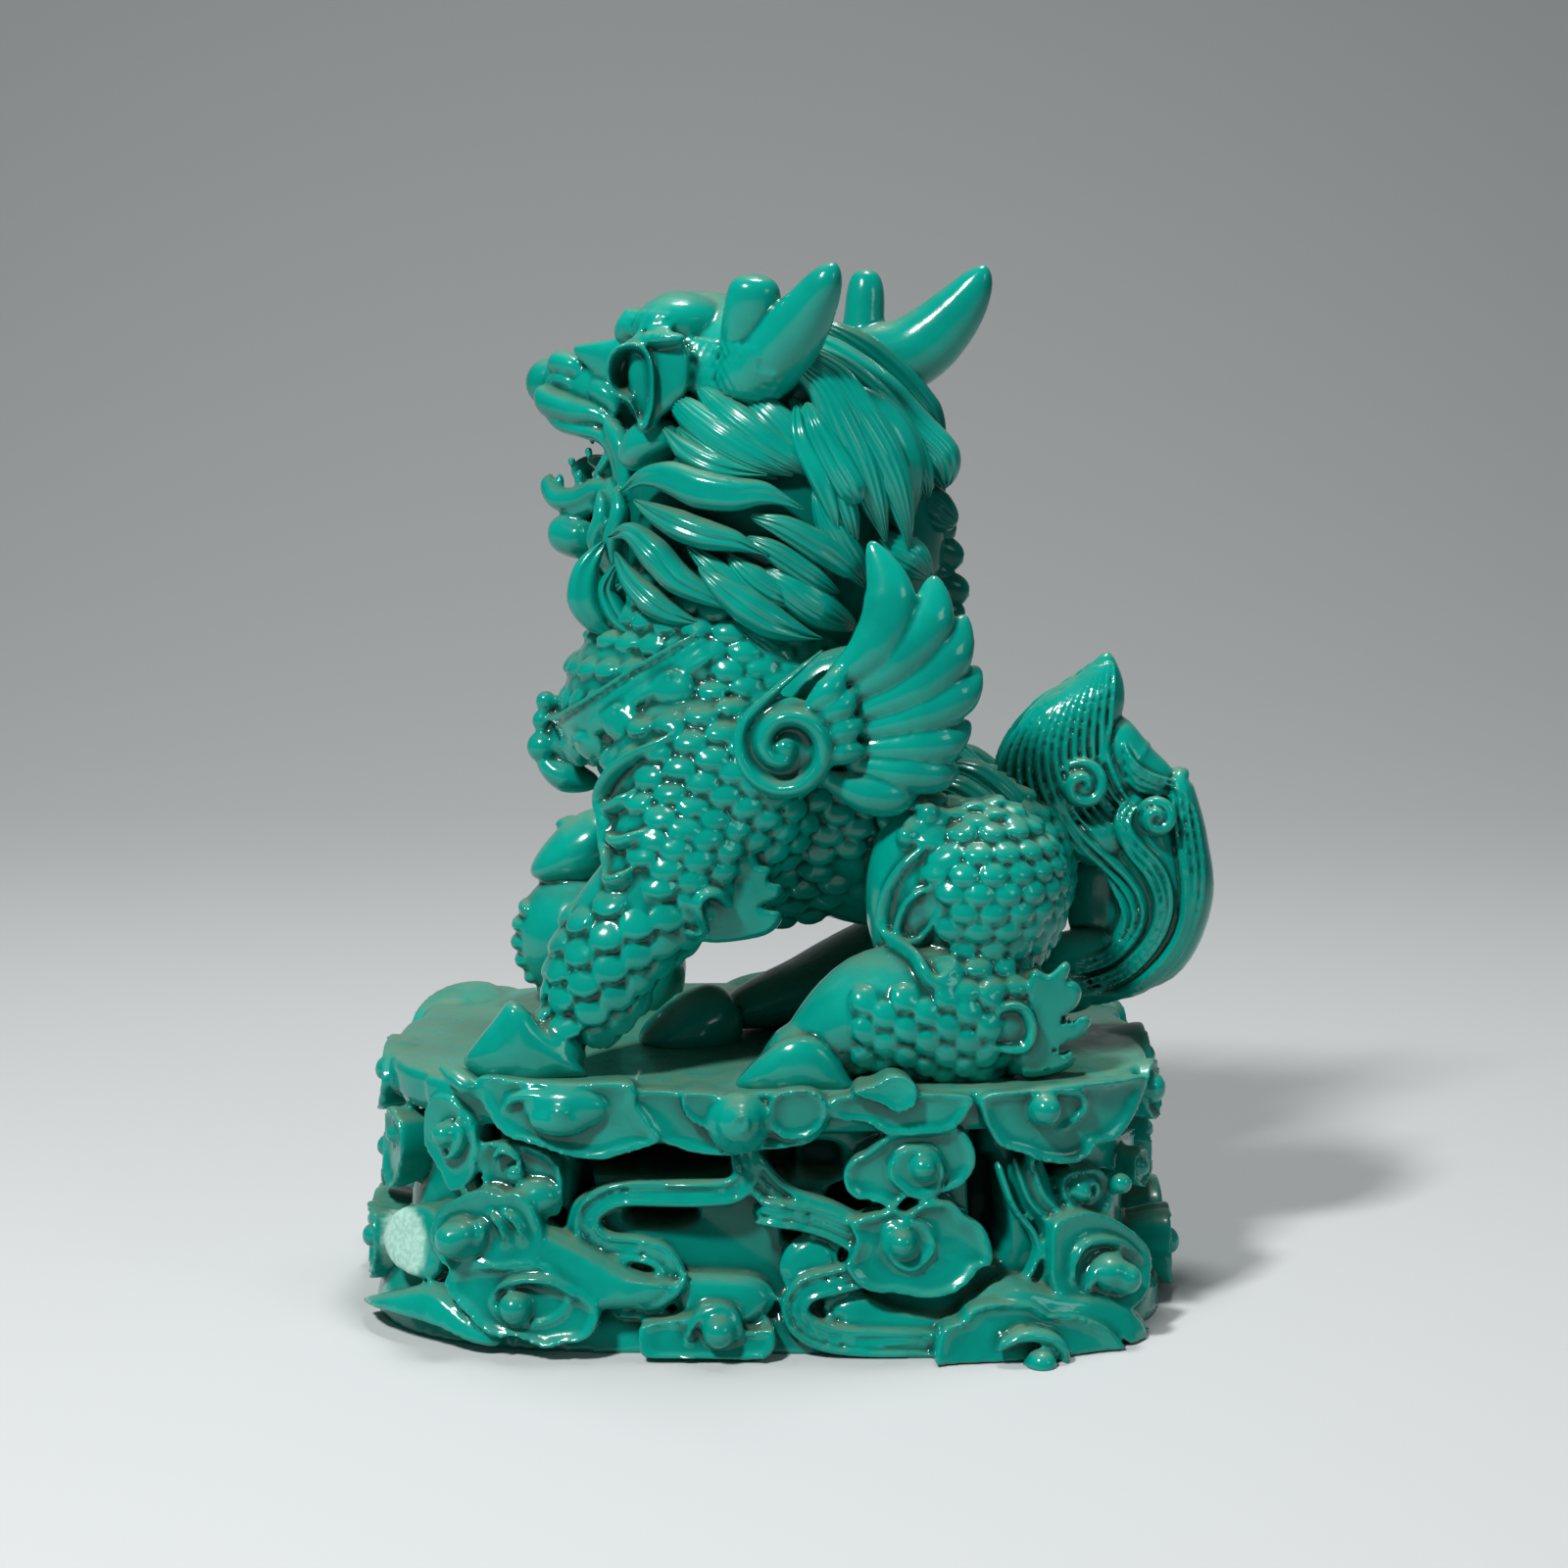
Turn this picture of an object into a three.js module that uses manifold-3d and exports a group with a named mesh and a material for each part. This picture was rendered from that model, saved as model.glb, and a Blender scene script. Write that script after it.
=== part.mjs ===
// A seated qilin on a cloud plinth, moulded in one piece. Millimetres, +Z up.
// The beast faces -X with its head turned a little to +Y; -Y is the side with the better view.
// The origin is the middle of the plinth's flat underside.
import * as THREE from "three";
import { mergeVertices } from "three/addons/utils/BufferGeometryUtils.js";
import Module from "manifold-3d";

// Plinth sizes.
const PLINTH_LENGTH = 74.6;
const PLINTH_DEPTH = 52;
const PLINTH_HEIGHT = 22.5;
const PLATFORM_LENGTH = 68.4;
const PLATFORM_DEPTH = 45;
const PLATFORM_THICKNESS = 4.2;
const WAIST_INSET = 2.5;
const WALL_HOLLOW = 0.9;
const FOOT_LEAN = 0.8;
const PLATFORM_STEP = 0.4;
const SQUARENESS = 3.4;
const CLOUD_THICKNESS = 2.2;
const CLOUD_PROUD = 0.7;
const CLOUD_KNOB_RADIUS = 1.55;
const STREAM_WIDTH = 2.2;
const STREAM_INSET = 1.6;

// The beast stands this high over the platform, and every size of its body is a share of that.
const BEAST_HEIGHT = 70;
const HEAD_TURN = 32;

// Figures are drawn for a beast 70 mm high, from the middle of the platform's top.
const SHARE = BEAST_HEIGHT / 70;
const UP = new THREE.Vector3(0, 0, 1);
const ACROSS = new THREE.Vector3(0, 1, 0);

const wasm = await Module();
wasm.setup();

/** A closed three.js geometry as a solid for joining and cutting. */
function solidOf(geometry) {
  const bare = geometry.index ? geometry.toNonIndexed() : geometry.clone();
  for (const name of Object.keys(bare.attributes)) {
    if (name !== "position") bare.deleteAttribute(name);
  }
  const merged = mergeVertices(bare, 1e-4);
  return new wasm.Manifold(
    new wasm.Mesh({
      numProp: 3,
      vertProperties: new Float32Array(merged.attributes.position.array),
      triVerts: new Uint32Array(merged.index.array),
    }),
  );
}

/** The solid back as a geometry with flat faces. */
function geometryOf(solid) {
  const mesh = solid.getMesh();
  const geometry = new THREE.BufferGeometry();
  geometry.setAttribute("position", new THREE.BufferAttribute(mesh.vertProperties, 3));
  geometry.setIndex(new THREE.BufferAttribute(mesh.triVerts, 1));
  return geometry;
}

/** A point of the beast, from figures drawn at 70 mm over the platform. */
function at(x, y, z) {
  return new THREE.Vector3(x * SHARE, y * SHARE, PLINTH_HEIGHT + z * SHARE);
}

/** A value between the entries of a list spread evenly from 0 to 1. */
function along(list, share) {
  const place = Math.min(Math.max(share, 0), 1) * (list.length - 1);
  const before = Math.min(Math.floor(place), list.length - 2);
  return THREE.MathUtils.lerp(list[before], list[before + 1], place - before);
}

/**
 * A sphere drawn out along a smooth curve: a limb, lock, horn, feather or ridge.
 * wide is the half-size along side, thick the half-size square to it; blunt over 2 fills out the ends.
 * Rows are close together towards the ends, or evenly spaced where the form winds.
 */
function drawnForm(points, { wide, thick, side = ACROSS, blunt = 2, around = 8, rows = 8, even = false }) {
  const curve = new THREE.CatmullRomCurve3(points, false, "catmullrom", 0.5);
  const geometry = new THREE.SphereGeometry(1, around, rows);
  const position = geometry.attributes.position;
  const across = new THREE.Vector3();
  const over = new THREE.Vector3();
  const vertex = new THREE.Vector3();
  for (let i = 0; i < position.count; i++) {
    vertex.fromBufferAttribute(position, i);
    const polar = Math.acos(Math.min(Math.max(vertex.y, -1), 1));
    const share = even ? polar / Math.PI : (1 - Math.cos(polar)) / 2;
    const pole = 1 - 2 * share;
    const ring = Math.max(Math.hypot(vertex.x, vertex.z), 1e-9);
    const fill = Math.sqrt(Math.max(0, 1 - Math.abs(pole) ** blunt));
    const forward = curve.getTangent(share);
    across.copy(side).addScaledVector(forward, -side.dot(forward)).normalize();
    over.crossVectors(forward, across);
    const middle = curve.getPoint(share);
    middle.addScaledVector(across, (vertex.x / ring) * fill * along(wide, share));
    middle.addScaledVector(over, (vertex.z / ring) * fill * along(thick, share));
    position.setXYZ(i, middle.x, middle.y, middle.z);
  }
  return solidOf(geometry);
}

/** A ball or egg with its own three half-sizes. */
function egg(centre, x, y = x, z = x, around = 10, rows = 8) {
  const geometry = new THREE.SphereGeometry(1, around, rows);
  geometry.rotateX(Math.PI / 2).scale(x, y, z).translate(centre.x, centre.y, centre.z);
  return solidOf(geometry);
}

/** A point on a rounded oblong of the given half-sizes, in the direction of an angle in radians. */
function oblong(halfLength, halfDepth, angle) {
  const c = Math.cos(angle);
  const s = Math.sin(angle);
  const sum = Math.abs(c / halfLength) ** SQUARENESS + Math.abs(s / halfDepth) ** SQUARENESS;
  return new THREE.Vector2(c, s).multiplyScalar(sum ** (-1 / SQUARENESS));
}

/** The plinth's core: a flared foot, a waist drawn in from the clouds, and the platform's underside. */
function plinthCore() {
  const profile = [
    { height: 0, inset: PLATFORM_STEP },
    { height: 0.1, inset: PLATFORM_STEP },
    { height: 0.28, inset: WAIST_INSET },
    { height: 0.86, inset: WAIST_INSET },
  ];
  const around = 18;
  const geometry = new THREE.CylinderGeometry(1, 1, 1, around, profile.length - 1);
  geometry.rotateX(Math.PI / 2);
  const position = geometry.attributes.position;
  for (let i = 0; i < position.count; i++) {
    const row = profile[Math.round((position.getZ(i) + 0.5) * (profile.length - 1))];
    const reach = Math.hypot(position.getX(i), position.getY(i));
    const angle = Math.atan2(position.getY(i), position.getX(i));
    const rim = onEnvelope(angle, row.height, row.inset);
    position.setXYZ(i, rim.x * reach, rim.y * reach, rim.z);
  }
  return solidOf(geometry);
}

/** The platform slab, before the clouds round its edge. */
function platform() {
  const shape = new THREE.Shape();
  const steps = 26;
  for (let i = 0; i < steps; i++) {
    const angle = (i / steps) * 2 * Math.PI;
    const rim = oblong(PLATFORM_LENGTH / 2, PLATFORM_DEPTH / 2, angle);
    if (i === 0) shape.moveTo(rim.x, rim.y);
    else shape.lineTo(rim.x, rim.y);
  }
  const geometry = new THREE.ExtrudeGeometry(shape, { depth: PLATFORM_THICKNESS, bevelEnabled: false });
  geometry.translate(0, 0, PLINTH_HEIGHT - PLATFORM_THICKNESS);
  return solidOf(geometry);
}

/** A point on the plinth's outer envelope, which leans in from the foot to the platform's edge. */
function onEnvelope(angle, height, inset = 0) {
  const hollow = inset + WALL_HOLLOW * Math.sin(Math.PI * Math.min(Math.max(height, 0), 1));
  const half = (foot, top) =>
    THREE.MathUtils.lerp(foot / 2 - FOOT_LEAN, top / 2 - PLATFORM_STEP, height) - hollow;
  const rim = oblong(half(PLINTH_LENGTH, PLATFORM_LENGTH), half(PLINTH_DEPTH, PLATFORM_DEPTH), angle);
  return new THREE.Vector3(rim.x, rim.y, height * PLINTH_HEIGHT);
}

/** Puts a form, made facing +Z round its own middle, on the plinth's side. */
function onPlinthSide(geometry, { angle, height, lean = 0, spin = 0 }) {
  const turn = THREE.MathUtils.degToRad(angle);
  const middle = onEnvelope(turn, height);
  const level = onEnvelope(turn + 0.02, height).sub(onEnvelope(turn - 0.02, height)).normalize();
  const out = new THREE.Vector3().crossVectors(level, UP);
  geometry.rotateZ(THREE.MathUtils.degToRad(spin));
  geometry.rotateX(THREE.MathUtils.degToRad(-lean));
  geometry.translate(0, 0, CLOUD_PROUD);
  geometry.applyMatrix4(new THREE.Matrix4().makeBasis(level, UP, out));
  return geometry.translate(middle.x, middle.y, middle.z);
}

/**
 * One carved cloud on the plinth's side: a lobed plate, stepped up to a smaller one, and a round knob.
 * It is a sphere whose rows are the plate's rim, the step, and the knob's foot, waist and crown.
 */
function cloud({ wide, high, knob = 1, lobes = 4, shift = 0.12, ...place }) {
  const radius = Math.max(knob, 0.2) * CLOUD_KNOB_RADIUS;
  const rows = [
    { reach: 0, out: -CLOUD_THICKNESS * 2.4 },
    { reach: 1, out: CLOUD_THICKNESS * 0.4 },
    { reach: 0.6, out: CLOUD_THICKNESS * 0.85 },
    { knob: 1, out: CLOUD_THICKNESS * 0.9 },
    { knob: 0.7, out: CLOUD_THICKNESS * 0.9 + radius * 0.8 * knob },
    { knob: 0, out: CLOUD_THICKNESS * 0.9 + radius * knob },
  ];
  const geometry = new THREE.SphereGeometry(1, lobes * 2, rows.length - 1);
  geometry.rotateX(-Math.PI / 2);
  const position = geometry.attributes.position;
  for (let i = 0; i < position.count; i++) {
    const polar = Math.acos(Math.min(Math.max(-position.getZ(i), -1), 1));
    const row = rows[Math.round((polar / Math.PI) * (rows.length - 1))];
    const angle = Math.atan2(position.getY(i), position.getX(i));
    const lobe = 0.84 + 0.16 * Math.abs(Math.sin((angle * lobes) / 2));
    const onKnob = row.knob !== undefined;
    const x = onKnob ? row.knob * radius : (row.reach * lobe * wide) / 2;
    const y = onKnob ? row.knob * radius : (row.reach * lobe * high) / 2;
    const moved = row.reach === 1 || row.reach === 0 ? 0 : wide * shift;
    position.setXYZ(i, Math.cos(angle) * x + moved, Math.sin(angle) * y, row.out);
  }
  return solidOf(onPlinthSide(geometry, place));
}

// The clouds in view, by the angle round the plinth (270 is the middle of the front) and height share.
const FRONT_CLOUDS = [
  { angle: 212, height: 0.95, wide: 7, high: 5, knob: 0, lean: -20, lobes: 3 },
  { angle: 231, height: 0.88, wide: 16, high: 7.6, knob: 1.3, lean: -10, shift: 0 },
  { angle: 262, height: 0.89, wide: 18, high: 7, knob: 1.35, lean: -10, shift: 0.02 },
  { angle: 298, height: 0.9, wide: 14, high: 6, knob: 0, lean: -10 },
  { angle: 318, height: 0.87, wide: 13.6, high: 7.4, knob: 0.9, lean: -10, shift: 0 },
  { angle: 341, height: 0.88, wide: 7, high: 5.4, knob: 1.3, lean: -6, lobes: 3 },
  { angle: 206, height: 0.68, wide: 7, high: 8.6, knob: 1, lobes: 3 },
  { angle: 224, height: 0.63, wide: 9, high: 7, knob: 0.8, shift: -0.1, lobes: 3 },
  { angle: 300, height: 0.68, wide: 12.6, high: 6.8, knob: 0.75, shift: 0.06 },
  { angle: 298, height: 0.4, wide: 14, high: 8.4, knob: 0.9, shift: -0.06, spin: -8 },
  { angle: 331, height: 0.55, wide: 7, high: 6, knob: 0.7, lobes: 3 },
  { angle: 213, height: 0.4, wide: 12, high: 9.4, knob: 1.1, lean: 18, spin: 20 },
  { angle: 331, height: 0.28, wide: 11, high: 10, knob: 1.05, lean: 14 },
  { angle: 195, height: 0.22, wide: 9, high: 8, knob: 1, lean: 16, lobes: 3 },
  { angle: 228, height: 0.17, wide: 15.4, high: 7.6, knob: 1.15, lean: 16, spin: -10, shift: -0.02 },
  { angle: 260, height: 0.11, wide: 13, high: 5.4, knob: 1.3, lean: 6, shift: 0 },
  { angle: 314, height: 0.12, wide: 17, high: 6, knob: 0.9, lean: 6, shift: 0 },
  { angle: 351, height: 0.18, wide: 9, high: 7, knob: 0.9, lean: 12, lobes: 3 },
];

/** The back repeats the front's rows at even steps, with fewer clouds. */
function backClouds() {
  const rows = [
    { height: 0.88, wide: 20, high: 7.4, knob: 1.2, lean: -10, count: 4, first: 34, last: 146 },
    { height: 0.52, wide: 15, high: 7, knob: 1, lean: 0, count: 2, first: 56, last: 124 },
    { height: 0.17, wide: 22, high: 7.6, knob: 1.2, lean: 12, count: 3, first: 30, last: 150 },
  ];
  return rows.flatMap(({ count, first, last, ...row }) =>
    Array.from({ length: count }, (_, i) => ({
      ...row,
      lobes: 3,
      angle: first + ((last - first) * i) / (count - 1),
      shift: i % 2 ? 0.12 : -0.12,
    })),
  );
}

// Winding streams across the front, as x and height share along each.
const STREAMS = [
  [[-1.4, 0.74], [-1.2, 0.62], [-4, 0.58], [-11.6, 0.58], [-14.8, 0.5], [-14, 0.38], [-9.6, 0.33], [-8.4, 0.24], [-12, 0.17]],
  [[0, 0.56], [5, 0.5], [7, 0.38], [5, 0.3], [1.6, 0.24], [1.6, 0.12], [6, 0.05], [15, 0.05]],
  [[20, 0.74], [21.4, 0.56], [23.6, 0.4], [23.4, 0.2]],
];

/** A ridge of running water along its points, on the front at -1 or the back at 1. */
function stream(points, face) {
  const path = points.map(([x, height]) => {
    const wall = onEnvelope((face * Math.PI) / 2, height, STREAM_INSET).y;
    return onEnvelope(Math.atan2(wall, x), height, STREAM_INSET);
  });
  return drawnForm(path, {
    wide: [STREAM_WIDTH, STREAM_WIDTH],
    thick: [STREAM_WIDTH * 0.56, STREAM_WIDTH * 0.56],
    blunt: 12,
    around: 4,
    rows: points.length * 2,
    even: true,
  });
}

/** Half-sizes drawn for the 70 mm beast, at its real size. */
function sized(list) {
  return list.map((half) => half * SHARE);
}

/** A drawn form of the beast from points and half-sizes on the 70 mm drawing. */
function limb(points, wide, thick, extra = {}) {
  return drawnForm(points.map((point) => at(...point)), { wide: sized(wide), thick: sized(thick), ...extra });
}

/** The trunk from rump to neck, the full chest, the haunches and the shoulders. */
function trunk() {
  return [
    limb(
      [[21, 1, 11], [14, 1, 17], [6, 1, 23], [-1, 1, 29], [-2.4, 1, 38], [0.5, 1, 52]],
      [8, 11.5, 13, 14, 13.5, 11],
      [8, 10, 12, 13.5, 13.5, 11],
      { blunt: 3, around: 8, rows: 7 },
    ),
    egg(at(-8.6, 1, 31), 10 * SHARE, 11.6 * SHARE, 8.6 * SHARE, 8, 5),
    egg(at(1, 1, 19.6), 12 * SHARE, 10.4 * SHARE, 9.4 * SHARE, 8, 5),
    egg(at(19.4, 1, 15.4), 8.4 * SHARE, 11 * SHARE, 9.4 * SHARE, 8, 5),
    ...[-11, 13].map((y) => egg(at(18, y, 15), 8 * SHARE, 8.2 * SHARE, 8.4 * SHARE, 8, 6)),
    ...[-9.6, 11.6].map((y) => egg(at(-5, y, 24), 9.6 * SHARE, 7.4 * SHARE, 9.4 * SHARE, 7, 5)),
  ];
}

/** The four legs, the far forefoot raised on its ball. */
function legs() {
  const upright = { blunt: 5, around: 6, rows: 5 };
  const lying = { blunt: 3, around: 6, rows: 5 };
  return [
    limb([[-5, -12, 25], [-9, -14.4, 16.5], [-13, -15.6, 11.6], [-16.6, -16.6, 3]], [6, 5, 4.8, 4.6], [8, 5.6, 4.9, 4.6], upright),
    limb([[-5, 12, 25], [-9, 13, 17], [-13, 13.5, 15], [-16, 14, 15.5]], [6, 4.6, 4, 3.6], [8, 5.4, 4.2, 3.6], upright),
    limb([[26, -15, 4.4], [17, -16, 5.4], [9, -17, 5.6], [1, -18.4, 2]], [5, 5.6, 5, 3.6], [4.8, 6.2, 5.4, 2.8], lying),
    limb([[26, 15, 4], [14, 11, 4.6], [3, 4, 3], [-5, -2, 1.6]], [5, 5.4, 4.6, 3.6], [4.6, 5.6, 3, 2.2], lying),
  ];
}

/** A smooth pointed hoof from its top edge at the heel to its toe. */
function hoof(heel, toe, width) {
  const middle = heel.map((value, i) => (value + toe[i]) / 2);
  return limb([heel, middle, toe], [width, width * 1.05, width * 0.8], [width * 0.95, width * 0.8, width * 0.3], {
    blunt: 4,
    around: 6,
    rows: 4,
  });
}

/** The four hooves and the round ball under the raised forefoot. */
function hoovesAndBall() {
  return [
    hoof([-16, -17, 3.4], [-25.5, -18, 0.4], 4.6),
    hoof([-14, 13.8, 16.5], [-23, 14.4, 12.4], 4),
    hoof([4, -18.4, 3], [-3, -19.4, 0.2], 4.2),
    hoof([-3, -1, 2], [-11.5, -5, 0.2], 4),
    egg(at(-18.2, 14, 6.4), 6.3 * SHARE, 6.3 * SHARE, 6.5 * SHARE, 9, 6),
    egg(at(-11.8, 12.5, 3.6), 3.8 * SHARE, 4.4 * SHARE, 6 * SHARE, 6, 4),
  ];
}

/** Turns figures given in the head's own directions (ahead, to the near side, up) into drawing figures. */
function onHead([ahead, near, up]) {
  const turn = THREE.MathUtils.degToRad(HEAD_TURN);
  const x = -Math.cos(turn) * ahead - Math.sin(turn) * near;
  const y = Math.sin(turn) * ahead - Math.cos(turn) * near;
  return [x - 5, y + 2, up + 58.5];
}

/** A drawn form of the head, given in the head's own directions. */
function headForm(points, wide, thick, extra = {}) {
  const turn = THREE.MathUtils.degToRad(HEAD_TURN);
  const side = new THREE.Vector3(-Math.sin(turn), -Math.cos(turn), 0);
  return limb(points.map(onHead), wide, thick, { side, ...extra });
}

/** A rounded lump of the head. */
function lump(ahead, near, up, radius) {
  return egg(at(...onHead([ahead, near, up])), radius * SHARE, radius * SHARE, radius * SHARE, 6, 4);
}

/** Skull, open-mouthed muzzle, lower jaw and chin. */
function face() {
  return [
    headForm([[-15, 0, -1], [-5, 0, 0.6], [3, 0, 1.4], [9, 0, 0.4]], [6.5, 8.6, 9, 6], [6, 7.4, 8, 5.4], {
      around: 10,
      rows: 7,
      blunt: 3,
    }),
    headForm([[5, 0, 0.4], [12, 0, 0], [18.6, 0, -0.4]], [7, 5.4, 3.8], [6, 4.2, 3], { around: 8, rows: 5, blunt: 4 }),
    headForm([[-2, 0, -7], [7, 0, -9.8], [15.6, 0, -9]], [8, 5.4, 3], [6.4, 3, 1.7], { around: 8, rows: 5, blunt: 4 }),
    headForm([[3, 0, -6], [9, 0, -7], [14, 0, -6.2]], [3.4, 2.6, 2], [2, 1.2, 0.8], { around: 5, rows: 4 }),
    lump(13.4, 0, -12.4, 2.8),
    lump(18.4, 0, 0.6, 2.5),
  ];
}

/** What the head has on each side: nostril, brow, lip ridge, ear, horn and the horn's front tine. */
function headSide(near) {
  return [
    lump(15.6, 3 * near, 1.6, 1.9),
    lump(5.4, 4.2 * near, 5.8, 3.4),
    headForm([[6, 5 * near, 2.6], [9.6, 5.4 * near, 3.4], [12, 5.4 * near, 4.6]], [1.8, 1.6, 0.6], [2, 1.5, 0.5], {
      around: 5,
      rows: 4,
    }),
    headForm(
      [[15, 4 * near, -2.4], [10.4, 5 * near, -3.6], [8.2, 5.6 * near, -7.2], [6.6, 6 * near, -10]],
      [1, 1.3, 1.5, 1],
      [0.9, 1.3, 1.4, 1],
      { around: 5, rows: 6 },
    ),
    headForm([[1, 8 * near, 5], [2.6, 10.4 * near, 1.6], [1.6, 10.2 * near, -4.4]], [1.6, 2.2, 0.8], [2.6, 3.4, 1], {
      around: 6,
      rows: 4,
    }),
    headForm(
      [[-9.6, 6 * near, -2], [-11.4, 8.4 * near, 3.4], [-15.4, 10.6 * near, 7.6], [-20.4, 12 * near, 12]],
      [3.6, 3, 2.3, 0.6],
      [5.4, 4.2, 2.7, 0.7],
      { around: 7, rows: 6 },
    ),
    headForm([[-8.6, 7 * near, 1], [-9.8, 9 * near, 6], [-10.6, 9.8 * near, 10.6]], [2.6, 2.2, 1.6], [3, 2.6, 2.2], {
      around: 6,
      rows: 4,
      blunt: 4,
    }),
  ];
}

// Locks of the mane as x and height from root to tip, with the half-width in the middle.
const SIDE_LOCKS = [
  { points: [[-12.6, 51], [-8.6, 51.6], [-3, 50], [3.8, 48.6]], half: 2 },
  { points: [[-11.4, 49.6], [-7.6, 47.6], [-3.6, 46.4], [0.6, 44.6]], half: 1.7 },
  { points: [[-12.4, 46.6], [-9.6, 44], [-6.8, 41.6], [-2.4, 40]], half: 1.7 },
  { points: [[-13.4, 45.6], [-12.2, 42], [-9.4, 40], [-5.6, 39.2]], half: 1.5 },
  { points: [[-12.4, 46.6], [-14.4, 43], [-14.2, 39.6], [-11.8, 37]], half: 1.9 },
  { points: [[-7.8, 45.4], [-3.4, 43], [0.2, 39.8], [5, 37.8]], half: 2.1 },
  { points: [[-1.4, 47.8], [3.4, 46], [7.6, 41.6]], half: 2.3 },
  { points: [[-6.6, 38.8], [-3.6, 36], [-0.4, 32.4]], half: 2.4 },
  { points: [[-8, 57], [-3.6, 54.2], [1.8, 52.2]], half: 2.6 },
];
const BACK_LOCKS = [
  { points: [[2, 59], [5.6, 54.4], [8.6, 49.6]], half: 2.4 },
  { points: [[5, 61], [10.2, 54], [12, 44.6]], half: 2.6 },
  { points: [[7, 62], [12.8, 56.4], [16.4, 49.6]], half: 3 },
  { points: [[9, 50], [13, 46], [12, 38]], half: 2.8 },
];

/** A lock of hair lying on the mane's rounded mass, on the near side at 1 or the far side at -1. */
function lock({ points, half }, near) {
  const onMane = ([x, z]) => {
    const dx = (x - 2) / 17;
    const dz = (z - 46) / 20;
    const depth = Math.sqrt(Math.max(0.12, 1 - dx * dx - dz * dz));
    return [x, 1 - near * 12.6 * depth, z];
  };
  return limb(points.map(onMane), [half * 0.7, half, half * 0.4], [half * 0.8, half, half * 0.35], {
    around: 4,
    rows: near > 0 ? 5 : 4,
    even: true,
  });
}

/** The mane: a rounded mass under S-shaped locks. */
function mane() {
  const near = [...SIDE_LOCKS, ...BACK_LOCKS].map((one) => lock(one, 1));
  const plainer = (_, i) => i % 3 === 0;
  const far = [...SIDE_LOCKS.filter(plainer), ...BACK_LOCKS.filter(plainer)].map((one) => lock(one, -1));
  return [egg(at(2, 1, 46), 15.4 * SHARE, 12.6 * SHARE, 17 * SHARE, 8, 6), ...near, ...far];
}

/** The flame-edged crest down the spine. */
function crest() {
  const line = new THREE.CatmullRomCurve3(
    [at(16, 1, 47), at(15.4, 1, 38), at(14.4, 1, 31), at(20, 1, 23)], false, "catmullrom", 0.5);
  const flames = 4;
  return Array.from({ length: flames }, (_, i) => {
    const root = line.getPoint((i + 0.4) / flames);
    const down = line.getTangent((i + 0.4) / flames);
    const out = new THREE.Vector3().crossVectors(down, ACROSS).negate();
    const step = (forward, outward) =>
      root.clone().addScaledVector(down, forward * SHARE).addScaledVector(out, outward * SHARE);
    return drawnForm([step(-4, -3), step(0, 1), step(4.6, 2)], {
      wide: sized([2.6, 2.6, 0.9]),
      thick: sized([3, 2.8, 0.8]),
      around: 4,
      rows: 4,
    });
  });
}

// Wing feathers in the wing's plane, from root to tip, with the blade's half-width.
const LONG_FEATHERS = [
  { points: [[5, 34], [9.6, 38.8], [8.8, 45.8]], half: 2 },
  { points: [[6, 32.6], [12.2, 37.4], [14.2, 43]], half: 2 },
  { points: [[6.6, 31], [13.6, 34.6], [17, 39.6]], half: 1.9 },
  { points: [[7, 29.6], [13.8, 31.6], [18.2, 35]], half: 1.8 },
  { points: [[7, 28], [13, 28.6], [17.4, 30.4]], half: 1.7 },
  { points: [[6.4, 26.8], [12, 26], [16.4, 26]], half: 1.6 },
  { points: [[4, 26], [9, 24], [13, 25]], half: 1.5 },
];
const SHORT_FEATHERS = [
  { points: [[3, 31.4], [6, 33], [7, 34.2]], half: 1.5 },
  { points: [[3, 29.8], [6.4, 30.6], [8.2, 31.4]], half: 1.4 },
  { points: [[3, 28.4], [6.4, 28.2], [8.4, 28.4]], half: 1.4 },
];

/** One wing on the shoulder: a rolled scroll, short coverts and long curved feathers. */
function wing(near) {
  const onWing = (x, z, out) => [x, 1 - near * (out - 0.12 * Math.abs(x - 4)), z];
  const blade = ({ points: [root, bend, tip], half }, out, thick, rows) =>
    limb(
      [onWing(...root, out), onWing(...bend, out + 0.4), onWing(...tip, out - 0.6)],
      [thick, thick * 1.1, thick * 0.7],
      [half * 0.6, half * 1.2, half * 0.7],
      { around: 4, rows, blunt: 3 },
    );
  const turns = 1.45;
  const steps = 8;
  const scroll = Array.from({ length: steps + 1 }, (_, i) => {
    const share = i / steps;
    const angle = Math.PI * (0.767 + 2 * turns * share);
    const reach = THREE.MathUtils.lerp(4.1, 0.8, share ** 1.5);
    return onWing(1.6 + Math.cos(angle) * reach, 28.7 + Math.sin(angle) * reach, 17.2 + 1.2 * share);
  });
  const long = near > 0 ? LONG_FEATHERS : LONG_FEATHERS.filter((_, i) => i % 2 === 0);
  return [
    ...long.map((one) => blade(one, 16.2, 1.6, 4)),
    ...SHORT_FEATHERS.filter(() => near > 0).map((one) => blade(one, 17.4, 1.3, 3)),
    limb([onWing(5.2, 37.4, 16), onWing(1.4, 34.2, 16.8), ...scroll], [1.6, 2.2, 2, 1.6], [0.5, 1.1, 1, 0.8], {
      around: 4,
      rows: 12,
      blunt: 6,
      even: true,
    }),
    egg(at(7, 1 - near * 13.4, 31.4), 9.4 * SHARE, 3.4 * SHARE, 8.4 * SHARE, 8, 4),
  ];
}

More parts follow.
